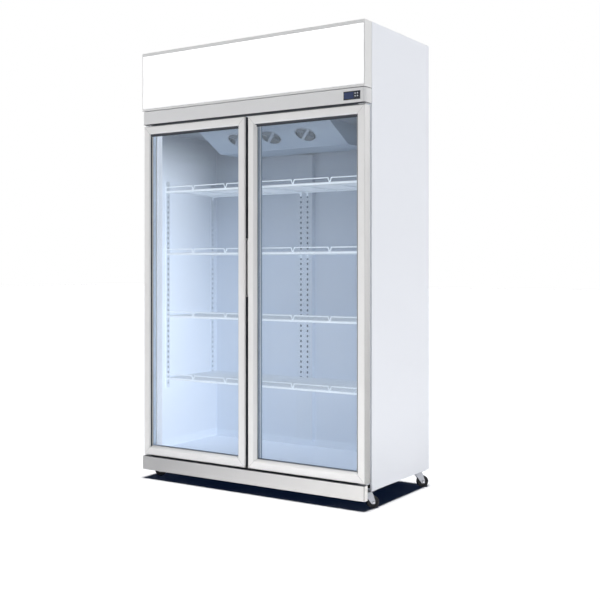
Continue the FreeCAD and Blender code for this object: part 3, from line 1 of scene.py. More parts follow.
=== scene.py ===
import bpy
import math
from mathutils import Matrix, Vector

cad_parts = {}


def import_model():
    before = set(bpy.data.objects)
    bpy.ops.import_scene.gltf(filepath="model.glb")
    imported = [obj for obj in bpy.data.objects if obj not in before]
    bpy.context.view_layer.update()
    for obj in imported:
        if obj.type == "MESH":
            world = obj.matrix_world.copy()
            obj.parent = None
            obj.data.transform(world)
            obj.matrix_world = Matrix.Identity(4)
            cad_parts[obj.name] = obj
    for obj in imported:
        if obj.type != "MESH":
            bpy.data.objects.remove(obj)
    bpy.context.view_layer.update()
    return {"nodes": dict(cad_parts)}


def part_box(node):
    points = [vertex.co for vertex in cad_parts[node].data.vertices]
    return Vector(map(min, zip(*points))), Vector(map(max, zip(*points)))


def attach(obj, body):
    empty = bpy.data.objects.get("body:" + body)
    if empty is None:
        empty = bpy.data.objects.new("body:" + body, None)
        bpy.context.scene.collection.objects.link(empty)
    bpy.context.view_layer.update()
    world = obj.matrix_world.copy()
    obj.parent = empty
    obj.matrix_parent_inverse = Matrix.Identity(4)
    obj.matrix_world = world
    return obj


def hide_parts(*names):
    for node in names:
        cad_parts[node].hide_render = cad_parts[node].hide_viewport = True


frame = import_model()
nodes = frame["nodes"]

# Sizes in metres, in the shared frame: +X right, +Y back, +Z up, floor at zero.
MM = 0.001


# Materials

# The heights between which the painted light and shade on the front change.
FOOT, HEAD = 100 * MM, 1700 * MM
# How far from the middle the front faces of the doors and the fascia turn into flanks, and the kick plate's
# face into its ends.
FLANK = (600 * MM, 603.6 * MM)
KICK_END = (604 * MM, 605.208 * MM)
# Noise patterns run from 0 to 1, but seldom go farther than this from their middle.
NOISE_REACH = 0.25


def parts_of(material):
    """A material's node tree, its principled shader and the position in the frame."""
    tree = material.node_tree
    return tree, tree.nodes["Principled BSDF"], tree.nodes["Texture Coordinate"].outputs["Object"]


def new_material(name):
    material = bpy.data.materials.new(name)
    material.use_nodes = True
    material.node_tree.nodes.new("ShaderNodeTexCoord")
    return material


def noise(tree, place, scale, detail=3.0, stretch=(1, 1, 1)):
    """A noise pattern; scale is in cycles per metre, stretch draws it out along an axis."""
    mapping = tree.nodes.new("ShaderNodeMapping")
    mapping.inputs["Scale"].default_value = [scale / part for part in stretch]
    tree.links.new(place, mapping.inputs["Vector"])
    texture = tree.nodes.new("ShaderNodeTexNoise")
    texture.inputs["Scale"].default_value = 1.0
    texture.inputs["Detail"].default_value = detail
    tree.links.new(mapping.outputs["Vector"], texture.inputs["Vector"])
    return texture.outputs["Fac"]


def ranged(tree, value, start, end, low, high):
    """A number that goes from low, where the value is start, to high, where it is end."""
    node = tree.nodes.new("ShaderNodeMapRange")
    for socket, number in (("From Min", start), ("From Max", end), ("To Min", low), ("To Max", high)):
        node.inputs[socket].default_value = number
    tree.links.new(value, node.inputs["Value"])
    return node.outputs["Result"]


def spread(tree, value, low, high):
    """Maps the middle of a noise pattern to the range from low to high."""
    return ranged(tree, value, 0.5 - NOISE_REACH, 0.5 + NOISE_REACH, low, high)


def tint(tree, value, low, high):
    """Blends two colours by a noise pattern."""
    blend = tree.nodes.new("ShaderNodeValToRGB")
    for element, way, colour in zip(blend.color_ramp.elements, (-1, 1), (low, high)):
        element.position = 0.5 + way * NOISE_REACH
        element.color = (*colour, 1)
    tree.links.new(value, blend.inputs["Fac"])
    return blend.outputs["Color"]


def shade(colour, amount):
    return tuple(min(1.0, part * amount) for part in colour)


def ramp(tree, place, axis, start, end, low=0.0, high=1.0):
    """A number that goes from low, where the position on an axis is start, to high, where it is end."""
    split = tree.nodes.new("ShaderNodeSeparateXYZ")
    tree.links.new(place, split.inputs["Vector"])
    return ranged(tree, split.outputs[axis], start, end, low, high)


def joined(tree, operation, values):
    """Several numbers made into one by the same operation."""
    total = values[0]
    for value in values[1:]:
        step = tree.nodes.new("ShaderNodeMath")
        step.operation = operation
        tree.links.new(total, step.inputs[0])
        tree.links.new(value, step.inputs[1])
        total = step.outputs["Value"]
    return total


def product(tree, place, *ramps):
    """Several ramps times each other."""
    return joined(tree, "MULTIPLY", [ramp(tree, place, *one) for one in ramps])


def beyond(tree, place, start, end):
    """A number that goes from 0 to 1 between two distances to either side of the middle."""
    return joined(tree, "ADD", [ramp(tree, place, "X", way * start, way * end) for way in (-1, 1)])


def dimmed(tree, colour, amount):
    """A colour times a number."""
    scaled = tree.nodes.new("ShaderNodeVectorMath")
    scaled.operation = "SCALE"
    tree.links.new(colour, scaled.inputs[0])
    tree.links.new(amount, scaled.inputs["Scale"])
    return scaled.outputs["Vector"]


def finish(name, colour, rough, metal=0.0, vary=0.03, cloud=3.0, grain=900.0, relief=0.06, stretch=(1, 1, 1),
           coat=0.0, gloss=0.5, painted_light=None, side=None, lined=None):
    """A painted, moulded or metal surface: clouded colour, uneven gloss and a fine grain in relief.

    A colour given for the low right is blended in there as painted light; side gives the painted shade and light
    of the flanks, as their brightness low down and high up; lined is the depth behind which a sheet is painted
    dark, except at its ends.
    """
    material = new_material(name)
    tree, shader, place = parts_of(material)
    clouds = noise(tree, place, cloud)
    fine = noise(tree, place, grain, 2.0, stretch)
    shown = tint(tree, clouds, shade(colour, 1 - vary), shade(colour, 1 + vary))
    # Painted light: the colour turns towards the given one at the low right of the front.
    if painted_light:
        blend = tree.nodes.new("ShaderNodeMix")
        blend.data_type = "RGBA"
        painted_light_mask = product(tree, place, ("X", -0.5, 0.6), ("Z", HEAD, FOOT))
        tree.links.new(painted_light_mask, blend.inputs["Factor"])
        tree.links.new(shown, blend.inputs[6])
        blend.inputs[7].default_value = (*painted_light, 1)
        shown = blend.outputs[2]
    # Painted shade and light on the flanks: dimmed or brightened from the low to the high end of the ramp.
    if side:
        face = product(tree, place, *[("X", way * FLANK[0], way * FLANK[1], 1.0, 0.0) for way in (-1, 1)])
        bright = ramp(tree, place, "Z", FOOT, HEAD, *side)
        flank = joined(tree, "MULTIPLY", [beyond(tree, place, *FLANK), bright])
        shown = dimmed(tree, shown, joined(tree, "ADD", [face, flank]))
    if lined is not None:
        sheet = ramp(tree, place, "Y", lined, lined + 0.3 * MM, 1.0, 0.02)
        shown = dimmed(tree, shown, joined(tree, "MAXIMUM", [sheet, beyond(tree, place, *KICK_END)]))
    tree.links.new(shown, shader.inputs["Base Color"])
    tree.links.new(spread(tree, fine, rough * 0.85, rough * 1.15), shader.inputs["Roughness"])
    bump = tree.nodes.new("ShaderNodeBump")
    bump.inputs["Strength"].default_value = relief
    bump.inputs["Distance"].default_value = 0.3 * MM
    tree.links.new(fine, bump.inputs["Height"])
    tree.links.new(bump.outputs["Normal"], shader.inputs["Normal"])
    shader.inputs["Metallic"].default_value = metal
    shader.inputs["Coat Weight"].default_value = coat
    shader.inputs["Specular IOR Level"].default_value = gloss
    return material


def faded(material, axis, start, end, low, high):
    """Dims a finish along an axis, from low to high."""
    tree, shader, place = parts_of(material)
    base = shader.inputs["Base Color"]
    amount = ramp(tree, place, axis, start, end, low, high)
    tree.links.new(dimmed(tree, base.links[0].from_socket, amount), base)
    return material


def lit(material, light, strength):
    """Gives a finish light of its own; the strength is a number or a node's output."""
    tree, shader, place = parts_of(material)
    shader.inputs["Emission Color"].default_value = (*light, 1)
    if isinstance(strength, float):
        shader.inputs["Emission Strength"].default_value = strength
    else:
        tree.links.new(strength, shader.inputs["Emission Strength"])
    return material


def glowing(name, colour, light, strength, rough=0.3, vary=0.02, cloud=2.0, foot=None):
    """A lit panel: a finish that also gives off light, above its foot if that is given."""
    material = finish(name, colour, rough, vary=vary, cloud=cloud, relief=0.01)
    tree, shader, place = parts_of(material)
    if foot is not None:
        strength = ramp(tree, place, "Z", foot - 10 * MM, foot, 0.0, strength)
    return lit(material, light, strength)


def lit_wall(name, colour, rough, light, low, left, left_wall, left_front):
    """The white inside: painted shade at the top, a faint painted glow towards its foot, left and front."""
    material = finish(name, colour, rough, vary=0.012, cloud=1.2, grain=700, relief=0.03)
    tree, shader, place = parts_of(material)
    # Painted shade towards the top of the inside.
    faded(material, "Z", 1.15, 1.6, 1.0, 0.62)
    faded(material, "Z", 1.5, 1.7, 1.0, 0.6)
    on_left = ("X", -0.55, -0.56)
    glows = (
        [("Z", 1.4, 0.45, 0.0, low)],
        [("X", 0.3, -0.6), ("Z", 1.4, 0.9, 0.0, left)],
        [on_left, ("Z", 1.7, 0.7, 0.0, left_wall), ("Y", 0.2, -0.2, 0.55, 1.0)],
        [on_left, ("Z", 0.0, 1.6, 0.0, left_front), ("Y", 0.2, -0.2), ("Z", 1.42, 1.63, 1.0, 0.06)],
        # The floor of the inside.
        [("Z", 0.175, 0.167, 0.0, 0.07)],
    )
    return lit(material, light, joined(tree, "ADD", [product(tree, place, *ramps) for ramps in glows]))


def shelf_wire(name, colour, light, strength, front):
    """Coated wire with a painted glow: bright at the shelf's front edge, dimmer behind it as painted shade."""
    material = finish(name, colour, 0.32, vary=0.02, cloud=9.0, relief=0.02)
    tree, shader, place = parts_of(material)
    level = ramp(tree, place, "Y", front + 14 * MM, front + 8 * MM, 0.36 * strength, strength)
    return lit(material, light, level)


def clear(name, colour, alpha, rough):
    """Clear glass with a faint unevenness in its gloss."""
    material = new_material(name)
    tree, shader, place = parts_of(material)
    wave = noise(tree, place, 4.0, 1.0)
    tree.links.new(tint(tree, wave, shade(colour, 0.97), colour), shader.inputs["Base Color"])
    tree.links.new(spread(tree, wave, rough * 0.7, rough * 1.3), shader.inputs["Roughness"])
    shader.inputs["Alpha"].default_value = alpha
    shader.inputs["IOR"].default_value = 1.5
    return material


WHITE_STEEL = finish("white_steel", (0.80, 0.82, 0.86), 0.36, vary=0.012, cloud=1.4, grain=1400, relief=0.04)
# The kick plate is brighter towards its low right: painted light.
KICK_SHEET = finish("kick_sheet", (0.53, 0.527, 0.525), 0.62, metal=0.9, vary=0.03, cloud=1.6, grain=1500,
                    relief=0.05, stretch=(12, 1, 1), painted_light=(0.90, 0.885, 0.86),
                    lined=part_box("kick_plate")[0][1] + 1 * MM)
UNDERCOAT = finish("undercoat", (0.014, 0.016, 0.022), 0.9, vary=0.2, cloud=30.0, grain=300, relief=0.2,
                   gloss=0.0)
# Door frames: painted light towards the low right; painted shade low on the flanks, painted light high up.
SILVER_FRAME = finish("silver_frame", (0.86, 0.855, 0.845), 0.66, metal=0.92, vary=0.02, cloud=2.2, grain=1500,
                      relief=0.05, stretch=(1, 1, 12), painted_light=(1.0, 0.99, 0.97), side=(0.57, 1.09))
# The fascia's flanks are brightened: painted light.
SILVER_SHEET = finish("silver_sheet", (0.77, 0.77, 0.77), 0.62, metal=0.9, vary=0.015, cloud=2.0, grain=1500,
                      relief=0.05, stretch=(12, 1, 1), side=(1.1, 1.1))
SIGN_TRIM = finish("sign_trim", (0.84, 0.84, 0.83), 0.6, metal=0.55, vary=0.015, cloud=2.0, grain=1500,
                   relief=0.05, stretch=(12, 1, 1))
SEAM = finish("mitre_seam", (0.52, 0.52, 0.52), 0.6, metal=0.9, vary=0.03, cloud=40.0, grain=1500, relief=0.04)
LIP = finish("frame_lip", (0.82, 0.82, 0.81), 0.5, metal=0.2, vary=0.02, cloud=4.0, grain=1500, relief=0.04)
# Colour of the painted glow on the inside's walls and slots.
GLOW = (0.79, 0.88, 1.0)
# The liner and the shelf standards carry painted shade and a painted glow, set by these strengths.
LINER = lit_wall("white_liner", (0.60, 0.68, 0.80), 0.32, GLOW, low=0.2, left=0.06, left_wall=0.3,
                 left_front=0.62)
STANDARD = lit_wall("standard_white", (0.62, 0.70, 0.81), 0.34, GLOW, low=0.19, left=0.06, left_wall=0.28,
                    left_front=0.56)
# The jambs give off a painted glow, though they are no lamp, from a little above the floor up.
JAMB = glowing("jamb_white", (0.78, 0.82, 0.90), (0.86, 0.92, 1.0), 0.42, foot=0.135)
MULLION = finish("mullion_slate", (0.30, 0.37, 0.44), 0.4, vary=0.02, cloud=2.0, grain=900, relief=0.05)
WIRE = shelf_wire("white_wire", (0.66, 0.74, 0.84), (0.88, 0.95, 1.0), 0.55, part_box("shelf_level_1")[0][1])
FOAM = finish("foam", (0.80, 0.70, 0.42), 0.9, vary=0.08, cloud=20.0, grain=260, relief=0.5)
GLASS = clear("clear_glass", (0.70, 0.82, 0.92), alpha=0.06, rough=0.03)
RUBBER = finish("grey_rubber", (0.16, 0.17, 0.19), 0.62, vary=0.06, cloud=14.0, grain=1200, relief=0.12)
# Near-black for the strips and plates of painted shade in gaps, in grooves and under the head rails.
DARK_SHADE = finish("dark_painted_shade", (0.035, 0.04, 0.05), 0.55, vary=0.08, cloud=14.0, grain=1200, relief=0.12)
# The spacer between the panes, brightened towards the left door's hinge stile: painted light.
SPACER = faded(finish("glass_spacer", (0.24, 0.28, 0.33), 0.45, vary=0.05, cloud=14.0, grain=1200, relief=0.05),
               "X", -0.56, -0.5, 3.2, 1.0)
# Slot insides as painted shade: the left wall's with a faint painted glow, the duct's and right wall's dark.
WALL_SLOT = glowing("wall_slot", (0.30, 0.37, 0.46), GLOW, 0.2, rough=0.7, vary=0.08, cloud=20.0)
DUCT_SLOT = finish("duct_slot", (0.15, 0.185, 0.24), 0.7, vary=0.08, cloud=20.0, grain=900, relief=0.05)
ACRYLIC = glowing("light_acrylic", (0.92, 0.92, 0.92), (1.0, 1.0, 1.0), 0.55)
LAMP = glowing("lamp_glass", (0.9, 0.92, 0.95), (0.95, 0.98, 1.0), 1.5)
BLACK = finish("black_plastic", (0.018, 0.022, 0.035), 0.42, vary=0.1, cloud=30.0, grain=1600, relief=0.14)
DISPLAY = glowing("display_lens", (0.018, 0.034, 0.11), (0.04, 0.08, 0.22), 0.1, rough=0.12, vary=0.1,
                  cloud=60.0)
KEY = finish("key_white", (0.80, 0.83, 0.88), 0.4, vary=0.03, cloud=60.0, grain=1600, relief=0.08)
GRIP = finish("grip_plastic", (0.42, 0.42, 0.43), 0.45, vary=0.04, cloud=10.0, grain=1500, relief=0.1)
ZINC = finish("zinc_steel", (0.70, 0.71, 0.73), 0.24, metal=1.0, vary=0.08, cloud=40.0, grain=600, relief=0.05)
FORK = finish("fork_zinc", (0.46, 0.47, 0.50), 0.3, metal=1.0, vary=0.1, cloud=40.0, grain=600, relief=0.06)
TYRE = finish("castor_tyre", (0.012, 0.012, 0.014), 0.55, vary=0.12, cloud=40.0, grain=900, relief=0.15)
FINS = finish("fin_aluminium", (0.62, 0.64, 0.66), 0.35, metal=0.9, vary=0.1, cloud=20.0, grain=450, relief=0.9,
              stretch=(1, 40, 40))
ENAMEL = finish("black_enamel", (0.015, 0.015, 0.018), 0.22, vary=0.15, cloud=12.0, grain=300, relief=0.05,
                coat=0.4)
FAN = finish("fan_plastic", (0.20, 0.23, 0.27), 0.45, vary=0.05, cloud=25.0, grain=900, relief=0.08)
GUARD = finish("fan_guard", (0.36, 0.42, 0.50), 0.42, vary=0.04, cloud=25.0, grain=900, relief=0.08)
# The evaporator cover, darker towards the top: a painted shadow of the head.
COVER = faded(finish("cover_white", (0.40, 0.485, 0.60), 0.4, vary=0.015, cloud=2.0, grain=1200, relief=0.05),
              "Z", 1.6, 1.7, 1.0, 0.6)


# Finish of every node that keeps its own shape.

CASTORS = [f"{row}_{side}" for row in ("front", "rear") for side in ("left", "right")]
DRESS = {
    WHITE_STEEL: ["left_side_panel", "right_side_panel", "back_panel", "top_cover", "sign_reflector"],
    UNDERCOAT: ["base_pan"],
    SILVER_FRAME: ["left_door_frame", "right_door_frame"],
    SILVER_SHEET: ["control_fascia"],
    SIGN_TRIM: ["sign_frame"],
    KICK_SHEET: ["kick_plate"],
    LINER: ["inner_liner"],
    JAMB: ["door_jambs"],
    MULLION: ["centre_mullion"],
    WIRE: ["shelf_level_1", "shelf_level_2", "shelf_level_3", "shelf_level_4", "shelf_guards", "shelf_clips"],
    STANDARD: ["side_shelf_standards", "rear_shelf_duct"],
    FOAM: ["insulation_foam"],
    GLASS: ["left_door_glass", "right_door_glass"],
    ACRYLIC: ["sign_panel"],
    LAMP: ["sign_lamps"],
    BLACK: ["controller_housing", "cable_gland"],
    DISPLAY: ["controller_display"],
    KEY: ["upper_left_key", "upper_right_key", "lower_left_key", "lower_right_key"],
    GRIP: ["left_door_grip", "right_door_grip"],
    ZINC: ["hinge_brackets", "condensing_unit_tray"],
    FORK: ["castor_plates"] + [f"{castor}_fork" for castor in CASTORS],
    TYRE: [f"{castor}_wheel" for castor in CASTORS],
    FINS: ["evaporator_coil", "condenser_coil"],
    ENAMEL: ["compressor", "condenser_fan_shroud"],
    FAN: ["evaporator_fan_left", "evaporator_fan_centre", "evaporator_fan_right", "evaporator_fan_motors",
          "condenser_fan"],
    GUARD: ["evaporator_fan_guards"],
    COVER: ["evaporator_cover"],
}
for material, names in DRESS.items():
    for name in names:
        mesh = nodes[name].data
        mesh.materials.clear()
        mesh.materials.append(material)


# Pieces that the solids leave out, and strips and plates of painted shade

def mesh_piece(name, points, faces, material, body):
    mesh = bpy.data.meshes.new(name)
    mesh.from_pydata(points, [], faces)
    mesh.materials.append(material)
    mesh.validate()
    piece = bpy.data.objects.new(name, mesh)
    bpy.context.scene.collection.objects.link(piece)
    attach(piece, body)
    return piece


def mitred(name, low, high, profile, material, body, path=None):
    """A closed profile of (inset, depth) points swept round the upright rectangle between two corners.

    The rectangle's corners are numbered upwards, the left ones first; a path of some of them makes an open
    sweep.
    """
    corners = [(x, across, z, up) for x, across in ((low[0], 1), (high[0], -1))
               for z, up in ((low[2], 1), (high[2], -1))]
    ring = path or (0, 2, 3, 1)
    points = []
    for x, across, z, up in (corners[n] for n in ring):
        points += [(x + across * inset, depth, z + up * inset) for inset, depth in profile]
    count = len(profile)
    faces = []
    for here in range(len(ring) - 1 if path else len(ring)):
        there = (here + 1) % len(ring)
        for i in range(count):
            j = (i + 1) % count
            faces.append((here * count + i, here * count + j, there * count + j, there * count + i))
    if path:
        faces += [tuple(range(count - 1, -1, -1)), tuple(range(len(points) - count, len(points)))]
    return mesh_piece(name, points, faces, material, body)


def plate(name, low, high, material, body, edge):
    """A flat piece with rounded edges."""
    points = [(x, y, z) for x in (low[0], high[0]) for y in (low[1], high[1]) for z in (low[2], high[2])]
    faces = [(0, 1, 3, 2), (4, 6, 7, 5), (0, 4, 5, 1), (2, 3, 7, 6), (0, 2, 6, 4), (1, 5, 7, 3)]
    piece = mesh_piece(name, points, faces, material, body)
    bevel = piece.modifiers.new("edges", "BEVEL")
    bevel.width = edge
    bevel.segments = 2
    bevel.limit_method = "ANGLE"
    bevel.angle_limit = math.radians(40)
    bevel.use_clamp_overlap = True
    return piece


def thickened(piece, thickness):
    solid = piece.modifiers.new("thickness", "SOLIDIFY")
    solid.thickness = thickness
    solid.offset = 0
    return piece


# Glazing and gaskets of the doors, with strips of painted shade. Seen from the front, a frame member is flat and
# then bevelled to the glass.
FRAME_WIDTH = 43 * MM
FRAME_FLAT = 32 * MM
# Insets from the frame's inner edge and depths from the glass, in millimetres.
BEAD_PROFILE = ((0, -1.9), (1.2, -1.6), (2.6, -0.2), (2.6, 0), (0, 0))
PANE = 5 * MM
SPACER_OUTER, SPACER_INNER = FRAME_WIDTH - 6 * MM, FRAME_WIDTH + 3.5 * MM
GROOVE_SHADE_OUTER = FRAME_WIDTH - 5.5 * MM
GROOVE_SHADE_PROUD = 0.28 * MM
SHADOW_WEDGE_HEIGHT = 6.5 * MM
SHADOW_WEDGE_DEPTH = 2.2 * MM
SHADOW_WEDGE_END = 1 * MM
GASKET_WIDTH = 14 * MM
# Shares of the gasket's width and depth.
BELLOWS_PROFILE = ((0.3, 0), (0.7, 0), (0.7, 0.12), (1.0, 0.2), (1.0, 0.3), (0.82, 0.4), (1.0, 0.5), (1.0, 0.9),
                   (0.9, 1.0), (0.1, 1.0), (0.0, 0.9), (0.0, 0.5), (0.18, 0.4), (0.0, 0.3), (0.0, 0.2),
                   (0.3, 0.12))


def on_bevel(face, inset, proud=0.0):
    """A point on the frame's inner bevel, which falls away from its face at 45 degrees."""
    return inset + proud, face + inset - FRAME_FLAT - proud


for side, hinge_path in (("left", (3, 1, 0)), ("right", (2, 3, 1))):
    door = f"{side}_door"
    low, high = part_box(f"{door}_frame")
    glass_low, glass_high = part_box(f"{door}_glass")
    face, front, back = low[1], glass_low[1], glass_high[1]
    mitred(f"{door}_bead", low, high,
           [(FRAME_WIDTH + inset * MM, front + depth * MM) for inset, depth in BEAD_PROFILE],
           LIP, door)
    mitred(f"{door}_spacer", low, high,
           [(SPACER_OUTER, front + PANE), (SPACER_INNER, front + PANE), (SPACER_INNER, back - PANE),
            (SPACER_OUTER, back - PANE)], SPACER, door)
    # A dark strip on the bevel of the head rail and hinge stile: painted shade of the groove there.
    mitred(f"{door}_groove_shade", low, high,
           [on_bevel(face, GROOVE_SHADE_OUTER, GROOVE_SHADE_PROUD), on_bevel(face, FRAME_WIDTH, GROOVE_SHADE_PROUD),
            on_bevel(face, FRAME_WIDTH), on_bevel(face, GROOVE_SHADE_OUTER)], DARK_SHADE, door, hinge_path)
    # A dark wedge under each head rail: painted shadow of the head rail on the glass.
    glass_head = high[2] - FRAME_WIDTH
    plate(f"{door}_head_shadow_wedge", (glass_low[0] + SHADOW_WEDGE_END, front - SHADOW_WEDGE_DEPTH, glass_head - SHADOW_WEDGE_HEIGHT),
          (glass_high[0] - SHADOW_WEDGE_END, front, glass_head), DARK_SHADE, door, edge=0.4 * MM)
    low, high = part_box(f"{door}_gasket")
    gasket_depth = high[1] - low[1]
    bellows = mitred(f"{door}_bellows", low, high,
                     [(wide * GASKET_WIDTH, low[1] + deep * gasket_depth) for wide, deep in BELLOWS_PROFILE],
                     RUBBER, door)
    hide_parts(f"{door}_gasket")

# Painted shade in the slots of the shelf standards and the duct: one row of small dark rounded plates each.
SLOT_PITCH = 25 * MM
# Across and up from a slot's middle, in millimetres.
SLOT_OUTLINE = [(3.9, -5.4), (4.5, -4.5), (4.5, 4.5), (3.9, 5.4),
                (-3.9, 5.4), (-4.5, 4.5), (-4.5, -4.5), (-3.9, -5.4)]
STANDARD_ROW = 12 * MM
STANDARD_DEPTH = 4.5 * MM
DUCT_ROW = 19 * MM
low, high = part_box("side_shelf_standards")
slots_foot, slots_head = low[2] + SLOT_PITCH, high[2] - SLOT_PITCH


def slots(name, spot, material):
    """A row of plates as high as the standards; spot gives the place of a point across and up a slot."""
    points, faces = [], []
    for at in range(round((slots_head - slots_foot) / SLOT_PITCH) + 1):
        start = len(points)
        points += [spot(across * MM, slots_foot + at * SLOT_PITCH + up * MM) for across, up in SLOT_OUTLINE]
        faces.append(tuple(range(start, len(points))))
    return thickened(mesh_piece(name, points, faces, material, "cabinet"), 0.3 * MM)


for side, way, material in (("left", -1, WALL_SLOT), ("right", 1, DUCT_SLOT)):
    x = way * (high[0] - STANDARD_DEPTH)
    for place, y in (("fore", low[1] + STANDARD_ROW), ("rear", high[1] - STANDARD_ROW)):
        slots(f"{side}_{place}_slots", lambda across, up: (x, y + across, up), material)
low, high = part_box("rear_shelf_duct")
for side, x in (("left", -DUCT_ROW), ("right", DUCT_ROW)):
    slots(f"duct_{side}_slots", lambda across, up: (x + across, low[1], up), DUCT_SLOT)

# Strips of painted shade in the gaps: under the fascia, on the kick plate and on the free edges of the doors
# above and below the grips.
SHADE_THICK = 0.6 * MM
SHADE_ROUND = 0.2 * MM
SHADE_END = 3 * MM
EDGE_NEAR, EDGE_FAR = 8 * MM, 32 * MM
EDGE_END = 2 * MM
GRIP_GAP = 5 * MM
low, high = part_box("control_fascia")
plate("fascia_gap_shade", (low[0] + SHADE_END, low[1] + 1.5 * MM, low[2] - SHADE_THICK),
      (high[0] - SHADE_END, high[1] - 1 * MM, low[2]), DARK_SHADE, "cabinet", SHADE_ROUND)
low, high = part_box("kick_plate")
plate("kick_gap_shade", (low[0] + SHADE_END, low[1] + 2 * MM, high[2]),
      (high[0] - SHADE_END, high[1] - 1 * MM, high[2] + SHADE_THICK), DARK_SHADE, "cabinet", SHADE_ROUND)
for side in ("left", "right"):
    low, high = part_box(f"{side}_door_frame")
    grip_low, grip_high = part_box(f"{side}_door_grip")
    left_x, right_x = (high[0], high[0] + SHADE_THICK) if side == "left" else (low[0] - SHADE_THICK, low[0])
    for place, foot, head in (("lower", low[2] + EDGE_END, grip_low[2] - GRIP_GAP),
                              ("upper", grip_high[2] + GRIP_GAP, high[2] - EDGE_END)):
        plate(f"{side}_door_{place}_edge", (left_x, low[1] + EDGE_NEAR, foot),
              (right_x, low[1] + EDGE_FAR, head), DARK_SHADE, f"{side}_door", SHADE_ROUND)

# Fine seams where the door frames are mitred.
SEAM_HALF = 0.35 * MM
SEAM_PROUD = 0.1 * MM
SEAM_ENDS = (9 * MM, FRAME_WIDTH - 0.5 * MM)
for side in ("left", "right"):
    low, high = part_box(f"{side}_door_frame")
    points, faces = [], []
    for x, across in ((low[0], 1), (high[0], -1)):
        for z, up in ((low[2], 1), (high[2], -1)):
            start = len(points)
            for inset in SEAM_ENDS:
                for half in (-SEAM_HALF, SEAM_HALF):
                    points.append((x + across * (inset + half), low[1] - SEAM_PROUD, z + up * (inset - half)))
            faces.append((start, start + 1, start + 3, start + 2))
    seam = mesh_piece(f"{side}_door_mitres", points, faces, SEAM, f"{side}_door")
    thickened(seam, 0.16 * MM)

# Half the outline of a domed head, as shares of its radius and its height.
DOME = ((1.0, 0.0), (1.0, 0.45), (0.86, 0.78), (0.5, 0.97))


def heads(name, spots, out, material, body, radius, height, sides):
    """Low domed heads of screws or nuts at the given spots, standing out along one direction."""
    out = Vector(out).normalized()
    across = out.orthogonal().normalized()
    over = out.cross(across)
    points, faces = [], []
    for spot in spots:
        start = len(points)
        for wide, tall in DOME:
            for n in range(sides):
                turn = 2 * math.pi * n / sides
                points.append(Vector(spot) + out * (height * tall)
                              + (across * math.cos(turn) + over * math.sin(turn)) * (radius * wide))
        for ring in range(len(DOME) - 1):
            for n in range(sides):
                here, there = start + ring * sides + n, start + ring * sides + (n + 1) % sides
                faces.append((here, there, there + sides, here + sides))
        faces.append(tuple(range(len(points) - sides, len(points))))
    return mesh_piece(name, points, faces, material, body)


def spaced(first, last, count):
    return [first + n * (last - first) / (count - 1) for n in range(count)]


# Screws round the back panel, and a low hood over each cooling slot.
SCREW_MARGIN = 14 * MM
SCREW_CORNER = 40 * MM
low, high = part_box("back_panel")
rows = spaced(low[2] + SCREW_CORNER, high[2] - SCREW_CORNER, 8)
columns = spaced(low[0] + SCREW_MARGIN, high[0] - SCREW_MARGIN, 6)
spots = [(x, high[1], z) for x in (columns[0], columns[-1]) for z in rows]
spots += [(x, high[1], z) for x in columns[1:-1] for z in (low[2] + SCREW_MARGIN, high[2] - SCREW_MARGIN)]
heads("back_screws", spots, (0, 1, 0), ZINC, "cabinet", radius=4.5 * MM, height=1.1 * MM,
      sides=12)
# The hoods' outline out from the panel and up from the top of a slot, in millimetres.
HOOD = ((0, 2.5), (0.7, 1.6), (1.1, 0.2), (1.1, -2.6), (0.8, -2.6), (0.8, 0), (0, 0.6))
HOOD_HALF = 172 * MM
VENT_MIDDLE = 280 * MM
VENT_FIRST = 99 * MM
VENT_PITCH = 22 * MM
VENT_COUNT = 9
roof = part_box("condensing_unit_tray")[0][2]
count = len(HOOD)
points, faces = [], []
for middle in (-VENT_MIDDLE, VENT_MIDDLE):
    for n in range(VENT_COUNT):
        top = roof + VENT_FIRST + n * VENT_PITCH
        start = len(points)
        for x in (middle - HOOD_HALF, middle + HOOD_HALF):
            points += [(x, high[1] + out * MM, top + up * MM) for out, up in HOOD]
        faces += [(start + i, start + (i + 1) % count, start + count + (i + 1) % count, start + count + i)
                  for i in range(count)]
        faces += [tuple(range(start, start + count)), tuple(range(start + 2 * count - 1, start + count - 1, -1))]
mesh_piece("vent_hoods", points, faces, WHITE_STEEL, "cabinet")

# Acorn nuts on the castor axles, which lie at 45 degrees through the middles of the wheels.
AXLE = Vector((1, -1, 0)).normalized()
AXLE_HALF = 15.5 * MM
for castor in CASTORS:
    low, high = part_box(f"{castor}_wheel")
    for end, way in (("outer", AXLE), ("inner", -AXLE)):
        heads(f"{castor}_{end}_nut", [(low + high) / 2 + way * AXLE_HALF], way, ZINC, f"{castor}_fork",
              radius=6 * MM, height=5 * MM, sides=6)

# A finger lip on the right door's grip.
low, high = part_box("right_door_grip")
plate("right_grip_lip", (low[0] - 6 * MM, low[1] + 1 * MM, low[2] + 2 * MM),
      (low[0] + 1 * MM, low[1] + 4 * MM, high[2] - 2 * MM), SILVER_FRAME, "right_door",
      edge=1 * MM)


# Floor, light and camera

def floor():
    """A pale floor with a faint blue glow, painted light that shows in the shadow."""
    mesh = bpy.data.meshes.new("floor")
    half = 40.0
    corners = [(-half, -half, 0), (half, -half, 0), (half, half, 0), (-half, half, 0)]
    mesh.from_pydata(corners, [], [(0, 1, 2, 3)])
    plane = bpy.data.objects.new("floor", mesh)
    bpy.context.scene.collection.objects.link(plane)
    pale = finish("pale_floor", (0.62, 0.62, 0.627), 0.9, vary=0.004, cloud=0.5, relief=0.0, gloss=0.0)
    mesh.materials.append(lit(pale, (0.0016, 0.0045, 0.015), 1.0))


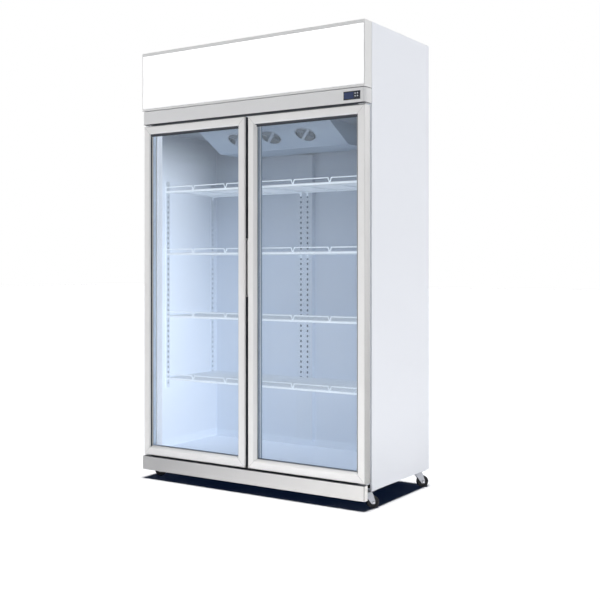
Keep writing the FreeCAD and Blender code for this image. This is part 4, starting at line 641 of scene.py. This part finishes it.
def world(ambient, bright, dim, towards):
    """White to the eye and a faint blue as a light; reflections show a room that is dim on one side only."""
    scene_world = bpy.data.worlds.new("studio")
    bpy.context.scene.world = scene_world
    scene_world.use_nodes = True
    tree = scene_world.node_tree
    path = tree.nodes.new("ShaderNodeLightPath")
    way = tree.nodes.new("ShaderNodeTexCoord")
    facing = tree.nodes.new("ShaderNodeVectorMath")
    facing.operation = "DOT_PRODUCT"
    tree.links.new(way.outputs["Generated"], facing.inputs[0])
    facing.inputs[1].default_value = Vector(towards).normalized()
    room = tree.nodes.new("ShaderNodeValToRGB")
    for element, position, colour in zip(room.color_ramp.elements, (0.15, 0.95), (bright, dim)):
        element.position = position
        element.color = (*colour, 1)
    tree.links.new(facing.outputs["Value"], room.inputs["Fac"])
    seen = None
    for rays in ("Is Glossy Ray", "Is Camera Ray", "Is Transmission Ray"):
        mix = tree.nodes.new("ShaderNodeMix")
        mix.data_type = "RGBA"
        tree.links.new(path.outputs[rays], mix.inputs["Factor"])
        base, top = mix.inputs[6], mix.inputs[7]
        if seen:
            tree.links.new(seen, base)
            top.default_value = (1, 1, 1, 1)
        else:
            base.default_value = (*ambient, 1)
            tree.links.new(room.outputs["Color"], top)
        seen = mix.outputs[2]
    tree.links.new(seen, tree.nodes["Background"].inputs["Color"])


def sun(name, strength, place, target, angle):
    """A distant light: only the direction from its place to its target counts."""
    light = bpy.data.lights.new(name, "SUN")
    light.energy = strength
    light.angle = math.radians(angle)
    made = bpy.data.objects.new(name, light)
    made.location = place
    made.rotation_mode = "QUATERNION"
    made.rotation_quaternion = (Vector(target) - Vector(place)).to_track_quat("-Z", "Y")
    bpy.context.scene.collection.objects.link(made)
    return made


def camera():
    """The photograph's view: level, from the front right."""
    data = bpy.data.cameras.new("photo_view")
    data.sensor_width = 36.0
    data.lens = 58.36
    data.shift_y = -0.0533
    data.clip_end = 200.0
    made = bpy.data.objects.new("photo_view", data)
    made.location = (2.5615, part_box("kick_plate")[0][1] - 3.4775, 1.0)
    made.rotation_euler = (math.radians(90), 0, math.radians(33.13))
    bpy.context.scene.collection.objects.link(made)
    bpy.context.scene.camera = made


floor()
world(ambient=(0.003, 0.006, 0.016), bright=(0.86, 0.86, 0.86), dim=(0.25, 0.25, 0.26),
      towards=(0.84, -0.545, 0))
sun("overhead", 5.3, (0, 0, 6), (0, 0, 0), angle=1.5)
for bearing, strength in ((30, 0.2), (85, 0.645), (105, 0.685)):
    turn = math.radians(bearing)
    place = (6 * math.sin(turn), -6 * math.cos(turn), 1)
    window = sun(f"right_window_{bearing}", strength, place, (0, 0, 1), angle=1.0)
    window.visible_glossy = False
camera()
bpy.context.scene.view_settings.view_transform = "Standard"
